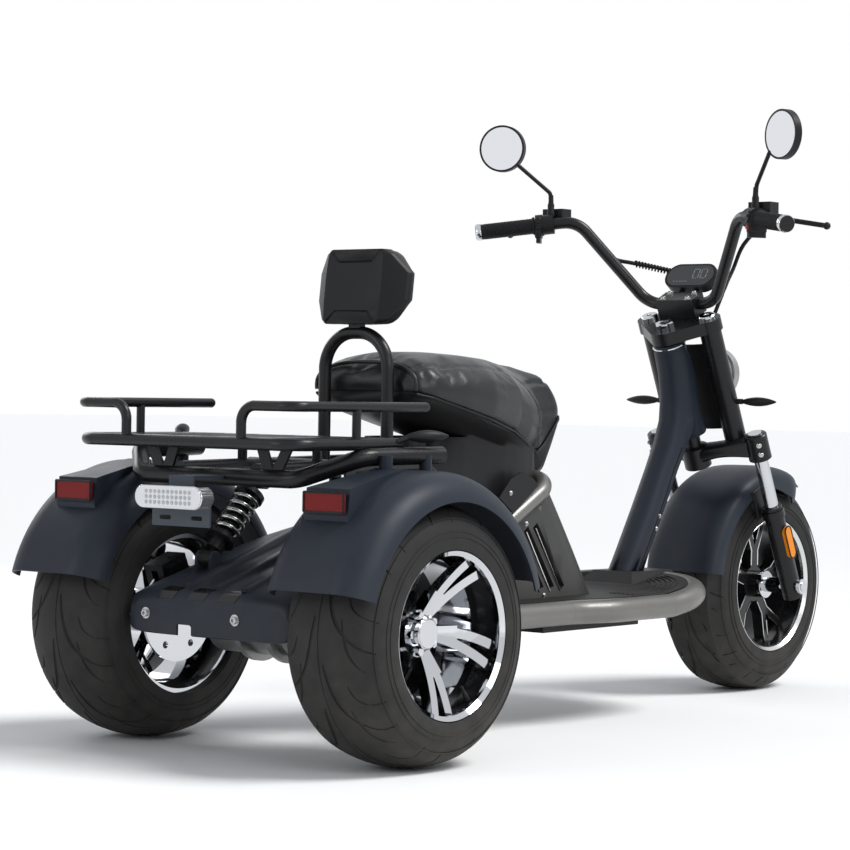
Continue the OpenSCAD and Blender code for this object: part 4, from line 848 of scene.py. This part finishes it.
def sheet(name, rows, thick):
    """A sheet through rows of points, given its thickness."""
    n = len(rows[0])
    faces = [[i * n + k, i * n + k + 1, (i + 1) * n + k + 1, (i + 1) * n + k]
             for i in range(len(rows) - 1) for k in range(n - 1)]
    made = from_points(name, [p for row in rows for p in row], faces)
    apply_modifier(made, "SOLIDIFY", thickness=thick, offset=0)
    return made


def rounded_block(place, size, turn, edge):
    """A block with its middle at a place, turned by Euler degrees, with rounded edges."""
    deselect()
    bpy.ops.mesh.primitive_cube_add(size=1, location=place, rotation=[radians(t) for t in turn])
    made = bpy.context.object
    made.scale = [s / 1000 for s in size]
    bpy.ops.object.transform_apply(location=True, rotation=True, scale=True)
    apply_modifier(made, "BEVEL", width=edge / 1000, segments=3)
    return made


def stadium(straight, round_r, place):
    """Places round an outline with two straight sides and round ends, for a function of across and up."""
    return [place(side * (straight + round_r * cos(a)), side * round_r * sin(a))
            for side in (1, -1) for a in (radians(d) for d in range(-90, 91, 10))]


RAKE = radians(25)
AXIS_FOOT = (1542.15, 214.76)
LEG_AHEAD, LEG_SIDE = 55, 128.5
TUBE_AHEAD, TUBE_SIDE = 56, 75


def steer(q, y, s):
    """A place on the fork: ahead of the steering axis, to the left, and up along the axis."""
    return at(AXIS_FOOT[0] + q * cos(RAKE) - s * sin(RAKE), y,
              AXIS_FOOT[1] + q * sin(RAKE) + s * cos(RAKE))


UP_FORK = Vector((-sin(RAKE), 0, cos(RAKE)))
REAR, LEFT, UP = Vector((-1, 0, 0)), Vector((0, 1, 0)), Vector((0, 0, 1))
machined = finish(
    "machined_edge", (0.70, 0.70, 0.70), 0.24, metal=1.0, change=0.1, grain_scale=1800, bump=0.0001)
lamp_silver = finish("lamp_silver", (0.72, 0.73, 0.75), 0.18, metal=0.85, change=0.1, bump=0.0, coat=0.4)
bracket_slate = finish("bracket_slate", (0.060, 0.072, 0.086), 0.5, change=0.2)
screen_glass = finish("screen_glass", (0.004, 0.005, 0.008), 0.08, change=0.05, bump=0.0, coat=1.0)
digit_grey = finish("digit_grey", (0.30, 0.31, 0.34), 0.4, change=0.05, bump=0.0)
button_red = finish("button_red", (0.45, 0.02, 0.02), 0.35, change=0.1)
print("turned, ringed and pressed pieces can be made now")

# %% [markdown]
# ## Front fender
# The front fender is one moulding: a deep channel over the tyre whose sides drop further at the front,
# drawn out into a pointed beak. The CAD solid has the arc and a blunt beak. Here the channel's section is
# set out at each station along the arc and the beak, so width and side can run down to the point in one
# smooth surface.

# %% Stations of the front fender
front_axle = at(FRONT_WHEEL, 0, AXLE_HEIGHT)
fender_r, beak_turn = 266, 75


def eased(table, v):
    for (a, p), (b, q) in zip(table, table[1:]):
        if a <= v <= b:
            t = (v - a) / (b - a)
            return p + (q - p) * t * t * (3 - 2 * t)
    return table[-1][1]


def fender_row(middle, up, half_w, side):
    row = []
    for k in range(29):
        t = pi * k / 28
        y = half_w * signed_power(cos(t), 0.45)
        drop = side * (abs(sin(t)) ** 0.6 - 1)
        row.append(middle + up * drop / 1000 + Vector((0, y / 1000, 0)))
    return row


fender_rows = []
for k in range(25):
    turn = 172 - (172 - beak_turn) * k / 24
    up = Vector((cos(radians(turn)), 0, sin(radians(turn))))
    side = eased([(75, 62), (100, 46), (150, 40), (172, 40)], turn)
    fender_rows.append(fender_row(front_axle + up * fender_r / 1000, up, 94, side))
beak_start = front_axle + up * fender_r / 1000
beak_tip = at(1820, 0, 454)
for k in range(1, 17):
    t = k / 16
    ahead = (beak_start.x + (beak_tip.x - beak_start.x) * t - front_axle.x) * 1000
    half_w = eased([(60, 94), (82, 92), (120, 62), (150, 40), (190, 20), (228.5, 3)], ahead)
    side = eased([(60, 62), (80, 74), (104, 50), (150, 22), (228.5, 3)], ahead)
    fender_rows.append(fender_row(beak_start.lerp(beak_tip, t), up, half_w, side))
fender = sheet("front_fender_skin", fender_rows, 0.004)
holders = []
for side in (-1, 1):
    holders.append(rounded_block(steer(LEG_AHEAD, side * 96, 205), (36, 8, 70), (0, -25, 0), 3))
    holders.append(turned([(0, 0), (10, 0), (10, 32), (0, 32)], steer(LEG_AHEAD, side * 97, 183), LEFT * side))
settle(fender, "front_fender_skin", "fork", slate_plastic, 50, ("front_fender",))
settle(joined(holders), "front_fender_holders", "fork", black_plastic)
print("front fender faces:", len(fender.data.polygons))

# %% [markdown]
# ## Front wheel
# The front wheel is cast, painted black and then turned on a lathe, so its lip and the edges of the Y
# spokes are bright. The bright edges are thin bars laid on the edges of the CAD spokes, made for one spoke
# and turned to the others.

# %% Bright edges, lip and hub ring
spoke_face = 32.2


def spoke_lines():
    """Edges of one Y spoke, as (along, across) pairs in millimetres from the hub."""
    lines = []
    a = radians(24)
    for s in (-1, 1):
        def arm(t, off):
            return (76 + t * cos(a) - off * sin(a), s * (4 + t * sin(a) + off * cos(a)))
        lines.append([(42, s * 13), (70, s * 13), arm(2, 8), arm(66, 8)])
        lines.append([arm(24, -8), arm(66, -8)])
    return lines


edges = []
for k in range(5):
    a = radians(18 + 72 * k)
    for line in spoke_lines():
        edges.append(tube("edge", [
            front_axle + Vector((u * cos(a) - v * sin(a), -spoke_face,
                                 u * sin(a) + v * cos(a))) / 1000 for u, v in line], 0.0014, 8))
for side in (-1, 1):
    edges.append(turned([(141, 70), (150.5, 70), (150.5, 81), (148.5, 83), (141, 77)],
                        front_axle, LEFT * side, 96))
settle(joined(edges), "front_rim_bright_edges", "front_wheel", machined, 40)
hub_low, hub_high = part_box("front_rim")
hub_ring = turned([(16, 58), (30.5, 58), (30.5, 65), (28, 66.5), (16, 66.5)], front_axle, -LEFT)
settle(hub_ring, "front_hub_ring", "front_wheel", chrome)
print("front rim across, mm:", [round(v * 1000) for v in (hub_low.y, hub_high.y)])

# %% [markdown]
# ## Rear wheels
# The rear wheels are chromed, but the well behind the spokes is dark. On a copy of the CAD rim the faces of
# the well get a black finish, and a rolled lip, a valve and a ring round the cap are added. One function
# does both sides.

# %% Rear rims
well_r, well_half = 139, 84


def rear_wheel_trim(side, body, node, name):
    centre = at(0, side * WHEEL_SIDE, AXLE_HEIGHT)
    rim = cad_copy(node, name)
    rim.data.materials.append(chrome)
    rim.data.materials.append(rim_black)
    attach(rim, body)
    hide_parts(node)
    for face in rim.data.polygons:
        away = face.center - centre
        r = hypot(away.x, away.z) * 1000
        if r > well_r and abs(away.y) * 1000 < well_half:
            face.material_index = 1
    out = LEFT * side
    lip = turned([(140, 92), (150.5, 92), (150.5, 103), (148.5, 105.5), (140, 99)], centre, out, 128)
    cap_ring = ring(centre + out * 0.048, out, 26, 1.6)
    settle(joined([lip, cap_ring]), name + "_lip", body, chrome, 40)
    away = Vector((sin(0.6), 0, -cos(0.6)))
    valve = turned([(0, 0), (5, 0), (4.4, 14), (3, 16), (3, 30), (0, 30)],
                   centre + away * 0.145 + out * 0.074, -away)
    settle(valve, name + "_valve", body, rubber)
    return rim


rear_wheel_trim(-1, "rear_wheel_right", "rear_rim_right", "rear_rim_right_bright")
rear_wheel_trim(1, "rear_wheel_left", "rear_rim_left", "rear_rim_left_bright")
print("rear rims dressed")

# %% [markdown]
# ## Deck, body and down tube
# The foot mat has raised ribs that follow the deck's rounded outline and stop at the foot block. The body
# side has bright edges along its three louvres, a black panel under the saddle and a few screws. A parting
# line runs up the down tube.

# %% Ribs of the mat
def mat_height(x):
    return 252 + max(0, x - 1000) * tan(radians(8.3))


ribs = []
for k in range(6):
    inset = 36 + 11 * k
    side, bend = 205 - inset, 170 - inset
    flat = [(x, -side) for x in range(912, 1030, 13)]
    flat += [(1035 + bend * sin(a), -35 - bend * cos(a))
             for a in (radians(d) for d in range(0, 91, 5))]
    line = [at(x, y, mat_height(x) + 0.4) for x, y in flat if y < -72 or x < 1020]
    ribs.append(tube("rib", line, 0.0019, 8))
ribs = joined(ribs)
other_ribs = mirrored(ribs)
settle(joined([ribs, other_ribs]), "deck_mat_ribs", "chassis", rubber, 60)

# %% Louvre edges, side panels and screws
lean = radians(34)
up_louvre = Vector((-sin(lean), 0, cos(lean)))
strips, screws, panels = [], [], []
for side in (-1, 1):
    for k in range(3):
        foot = at(683 + 35 * k, side * 103.4, 265)
        strips.append(tube("strip", [foot, foot + up_louvre * (0.138 + 0.008 * k)], 0.0013, 8))
    outline = [(543, 457), (580, 493), (612, 506), (655, 492), (670, 478), (589, 425)]
    panel = from_points("panel", [at(x, side * 104, z) for x, z in outline], [list(range(6))])
    apply_modifier(panel, "SOLIDIFY", thickness=0.003, offset=0)
    panels.append(panel)
    for x, y, z in ((698, 103, 258), (580, 105, 465), (636, 103, 403), (1207, 33, 401), (1195, 33, 374)):
        screws.append(screw(at(x, side * y, z), LEFT * side, 3.4, 3))
settle(joined(strips), "louvre_edges", "chassis", machined, 60)
settle(joined(panels), "body_side_panels", "chassis", black_plastic)
# height above the foot block, place along the scooter, half width of the down tube
tube_rows = [(4, 1131, 34), (42, 1156, 33), (132, 1211, 33), (213, 1256, 33), (262, 1286, 34)]
partings = []
for side in (-1, 1):
    line = [at(x + 4, side * (w + 0.2), 286 + h) for h, x, w in tube_rows]
    partings.append(tube("parting", smooth_curve(line, 6), 0.0014, 8))
settle(joined(partings), "down_tube_parting", "chassis", black_plastic, 60)
print("ribs, edges and panels on the chassis")

# %% [markdown]
# ## Rear end
# The tail lamp has rows of clear light cells in a bright frame. The reflectors are moulded in a prism
# pattern and sit in black frames. The axle cover has three pressed recesses, whose shade is painted as thin
# black sheets laid on it, and two bolts, set where the photograph has them.

# %% Prism finish
prism = finish("red_prism", (0.17, 0.006, 0.006), 0.26, change=0.3, bump=0.0)
prism_tree = prism.node_tree
cells = add(prism_tree, "ShaderNodeTexVoronoi", [("Vector", object_place(prism_tree))], [("Scale", 260)])
cell_lift = add(prism_tree, "ShaderNodeBump", [("Height", cells.outputs["Distance"])],
                [("Strength", 0.3), ("Distance", 0.001)])
prism_tree.links.new(cell_lift.outputs["Normal"], prism_tree.nodes["Principled BSDF"].inputs["Normal"])
nodes["rear_reflectors"].data.materials[0] = prism
nodes["plate_bracket"].data.materials[0] = bracket_slate
nodes["tail_lamp"].data.materials[0] = lamp_silver

# %% Lamp cells and frames
lamp_low, lamp_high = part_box("tail_lamp")
lamp_mid = (lamp_low + lamp_high) / 2
light_cells = []
for col in range(11):
    for row in range(3):
        spot = Vector((lamp_low.x + 0.001, lamp_mid.y + (col - 5) * 0.0105, lamp_mid.z + (row - 1) * 0.0095))
        light_cells.append(turned([(0, 0), (4.2, 0), (3.6, 1.6), (2.0, 2.8), (0, 3.1)], spot, REAR, 12))
settle(joined(light_cells), "tail_lamp_cells", "chassis", clear_lens, 60)
half_w, half_h = lamp_high.y - lamp_mid.y, lamp_high.z - lamp_mid.z
around = stadium(half_w - half_h, half_h,
                 lambda u, v: Vector((lamp_low.x + 0.003, lamp_mid.y + u, lamp_mid.z + v)))
settle(tube("frame", around, 0.0022, 8, cyclic=True), "tail_lamp_frame", "chassis", chrome, 60)
frames = []
for side in (-1, 1):
    corners = [(261, 454), (351, 454), (351, 488), (261, 488)]
    frames += [tube("frame", [at(-212.6, side * a[0], a[1]), at(-212.6, side * b[0], b[1])], 0.0022, 8)
               for a, b in zip(corners, corners[1:] + corners[:1])]
settle(joined(frames), "reflector_frames", "chassis", black_plastic, 60)

# %% Painted recess shade and bolts of the axle cover
# The three recesses are not cut: their shade is painted as thin black sheets laid just over the cover.
recess_shades = []
for middle in (109, 33, -41):
    rows = []
    for i in range(7):
        z = 281 + 3.4 * i
        row = []
        for k in range(6):
            y = middle + (k / 5 - 0.5) * 42 - 2.2 * i
            _, spot, normal, _ = cover.ray_cast(at(-400, y, z), (1, 0, 0))
            row.append(spot + normal * 0.0003)
        rows.append(row)
    recess_shades.append(sheet("field", rows, 0.0012))
settle(joined(recess_shades), "axle_cover_fields", "chassis", rim_black)
for y in (153, -67):
    screws.append(screw(at(-171.5, y, 252), REAR, 7, 7))
motor_low, motor_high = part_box("drive_motor")
motor_mid = (motor_low + motor_high) / 2
fin_pitch = (motor_high.y - motor_low.y) / 14
fins = [ring(Vector((motor_mid.x, motor_low.y + fin_pitch * (k + 2), motor_mid.z)), LEFT, 62, 3, 64)
        for k in range(11)]
settle(joined(fins), "motor_fins", "chassis", alloy, 60)
settle(joined(screws), "chassis_screws", "chassis", satin_steel, 40)
print("rear end dressed")

# %% [markdown]
# ## Steering head
# The clamp, the yokes and the fork legs are held by socket screws. The stem nut and the tube caps are
# bright, and a polished ring closes the top of the head. The lower yoke is one casting whose underside
# arches over the fender, so it is lofted in one from leg to leg. A black shield fills the space between the
# fork tubes behind the headlamp.

# %% Nuts, caps, rings and screws of the fork
bright = [nut(steer(0, 0, 652), UP_FORK, 21.5, 17), ring(steer(0, 0, 616), UP_FORK, 35.2, 2.2, 64)]
fork_screws = []
dark_caps = []
for side in (-1, 1):
    bright.append(turned([(0, 0), (19, 0), (19, 6), (17, 8.4), (6, 8.4), (5, 6), (0, 6)],
                         steer(TUBE_AHEAD, side * TUBE_SIDE, 654), UP_FORK))
    for q in (61, 91):
        fork_screws.append(screw(steer(q, side * 32, 697.5), UP_FORK, 5, 6))
    for s in (336, 358):
        fork_screws.append(screw(steer(LEG_AHEAD - 19, side * (LEG_SIDE + 17), s),
                                 Vector((-0.68, side * 0.72, -0.05)), 4, 4))
    dark_caps.append(turned([(0, 0), (20, 0), (20, 1.5), (18.5, 3), (0, 3)],
                            steer(LEG_AHEAD, side * LEG_SIDE, 375.5), UP_FORK))
    loop = [steer(LEG_AHEAD + 12 * cos(a), side * 156.2, 112 + end * 26 + end * 12 * sin(a))
            for end, span in ((1, range(0, 181, 15)), (-1, range(180, -1, -15)))
            for a in (radians(d) for d in span)]
    dark_caps.append(tube("frame", loop, 0.0018, 8, cyclic=True))
settle(joined(bright), "head_brightwork", "fork", chrome, 30)
settle(joined(fork_screws), "fork_screws", "fork", satin_steel, 40)
settle(joined(dark_caps), "fork_caps", "fork", frame_black, 40)

# %% Lower yoke, shield and lamp glass
yoke_half, yoke_top, yoke_thick = 118, 369, 27
yoke_rows = []
for k in range(25):
    y = yoke_half * (k / 12 - 1)
    share = abs(y) / yoke_half
    q_mid, yoke_low = 4 + 51 * share ** 1.6, 326 + 15 * sin(pi * share)
    s_mid, s_half = (yoke_low + yoke_top) / 2, (yoke_top - yoke_low) / 2
    turns = [2 * pi * j / 24 for j in range(24)]
    yoke_rows.append([steer(q_mid + yoke_thick * signed_power(cos(t), 0.5), y,
                            s_mid + s_half * signed_power(sin(t), 0.5)) for t in turns])
yoke = [loft("yoke", yoke_rows),
        turned([(0, 322), (30, 322), (30, 369), (18, 372), (18, 404), (0, 404)], steer(0, 0, 0), UP_FORK)]
for side in (-1, 1):
    yoke.append(turned([(0, 318), (25.5, 318), (25.5, 374), (23.5, 376), (0, 376)],
                       steer(LEG_AHEAD, side * LEG_SIDE, 0), UP_FORK))
settle(joined(yoke), "lower_yoke_casting", "fork", frame_black, 40, ("lower_yoke",))
shield_half = 51
shield_rows = [[steer(62 + 6 * (y / shield_half) ** 2, y, s) for y in range(-shield_half, shield_half + 1, 17)]
               for s in range(384, 622, 34)]
shield = sheet("shield", shield_rows, 0.003)
settle(shield, "fork_shield", "fork", black_plastic, 40)
lamp_glass = turned([(0, 24), (51, 24), (50, 27), (36, 30), (18, 31.5), (0, 32)], at(1446, 0, 712), -REAR, 48)
settle(lamp_glass, "headlamp_glass", "fork", clear_lens, 60)
print("fork dressed")

# %% [markdown]
# ## Handlebar
# The grips are ribbed rubber with a bright ring at the end. Beside them sit the switch pods, and over the
# perches the rubber boots of the mirror stems. The display is a dark glass with pale digits, and a spiral
# wrap holds its cable.

# %% Grips, rings, pods and boots
bar_bend, bar_end = at(1224, 212, 1044), at(1112, 395, 1018)
grip_way = (bar_end - bar_bend).normalized()
grip_turn = degrees(atan2(grip_way.y, grip_way.x))


def on_grip(t):
    return bar_bend + grip_way * t / 1000


grip_ribs = [ring(on_grip(101 + 4 * k), grip_way, 16.9, 0.9, 32) for k in range(27)]
grip_ribs.append(turned([(14, 0), (20, 0), (20, 4), (17.5, 6), (14, 6)], on_grip(94), grip_way))
end_ring = turned([(13, 0), (18, 0), (18.6, 2), (18.6, 10), (17, 12), (13, 12)], on_grip(213.5), grip_way)
boot = turned([(0, 0), (8.5, 0), (8.5, 12), (7.2, 14), (7.6, 26), (6, 30), (5, 48), (0, 48)],
              on_grip(65) + Vector((0.010, 0, 0.018)), UP)
pod = rounded_block(on_grip(85) + Vector((0, 0, -0.006)), (15, 44, 48), (0, 0, grip_turn), 5)
rider_side = Vector((-0.55, -0.34, 0)).normalized()
keys = [rounded_block(on_grip(85) + rider_side * 0.022 + Vector((0, 0, h)), (9, 6, 7), (0, 0, grip_turn), 1.5)
        for h in (0.006, -0.006, -0.018)]
for made, name, material, slot in ((joined(grip_ribs), "grip_ribs", rubber, "rubber"),
                                   (end_ring, "grip_end_ring", chrome, "chrome"),
                                   (boot, "mirror_boot", rubber, "rubber"),
                                   (joined([pod] + keys[:2]), "switch_pod", black_plastic, "black_plastic"),
                                   (keys[2], "switch_key", button_red, "red_lens")):
    twin = mirrored(made)
    left_finish = black_plastic if material == button_red else material
    settle(made, name + "_left", "fork", left_finish, 40)
    settle(twin, name + "_right", "fork", material, 40)

# %% Display glass, digits and spiral wrap
tilt = radians(56)
face_out = Vector((-sin(tilt), 0, cos(tilt)))
face_up = Vector((cos(tilt), 0, sin(tilt)))
display_at = at(1377.8, 0, 915.5)
face_mid = display_at + face_out * 0.0203


def on_face(right, up):
    return face_mid - LEFT * right / 1000 + face_up * up / 1000


glass_line = stadium(33, 27, on_face)
glass = from_points("glass", glass_line, [list(range(len(glass_line)))])
apply_modifier(glass, "SOLIDIFY", thickness=0.0012, offset=0)
settle(glass, "display_glass", "fork", screen_glass)
marks = [((middle + a, b), (middle + c, d)) for middle in (14, 34) for a, b, c, d in (
    (-6, 16, 6, 16), (7, 15, 7, 5), (7, 3, 7, -7), (6, -8, -6, -8), (-7, -7, -7, 3), (-7, 5, -7, 15))]
marks += [((-40 + 8 * k, -16), (-35 + 8 * k, -16)) for k in range(5)]
strokes = [tube("stroke", [on_face(*end) + face_out * 0.0008 for end in mark], 0.0009, 6) for mark in marks]
settle(joined(strokes), "display_digits", "fork", digit_grey)
riser = at(1326.8, 86, 863.5)
wrap_from = bar_bend.lerp(riser, 0.58) + Vector((0.040, -0.016, 0.014))
wrap_to = display_at + Vector((0.020, 0.066, 0.020))
run = (wrap_to - wrap_from).normalized()
across = run.orthogonal().normalized()
turns, coil = 13, []
for k in range(turns * 12 + 1):
    a = 2 * pi * k / 12
    aside = across * cos(a) + run.cross(across) * sin(a)
    coil.append(wrap_from.lerp(wrap_to, k / (turns * 12)) + aside * 0.0062)
settle(tube("wrap", coil, 0.0019, 8), "cable_wrap", "fork", rubber, 60)
print("handlebar dressed")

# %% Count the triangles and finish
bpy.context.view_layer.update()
meshes = [o.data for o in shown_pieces() if o.type == "MESH"]
print("triangles:", sum(len(p.vertices) - 2 for mesh in meshes for p in mesh.polygons))
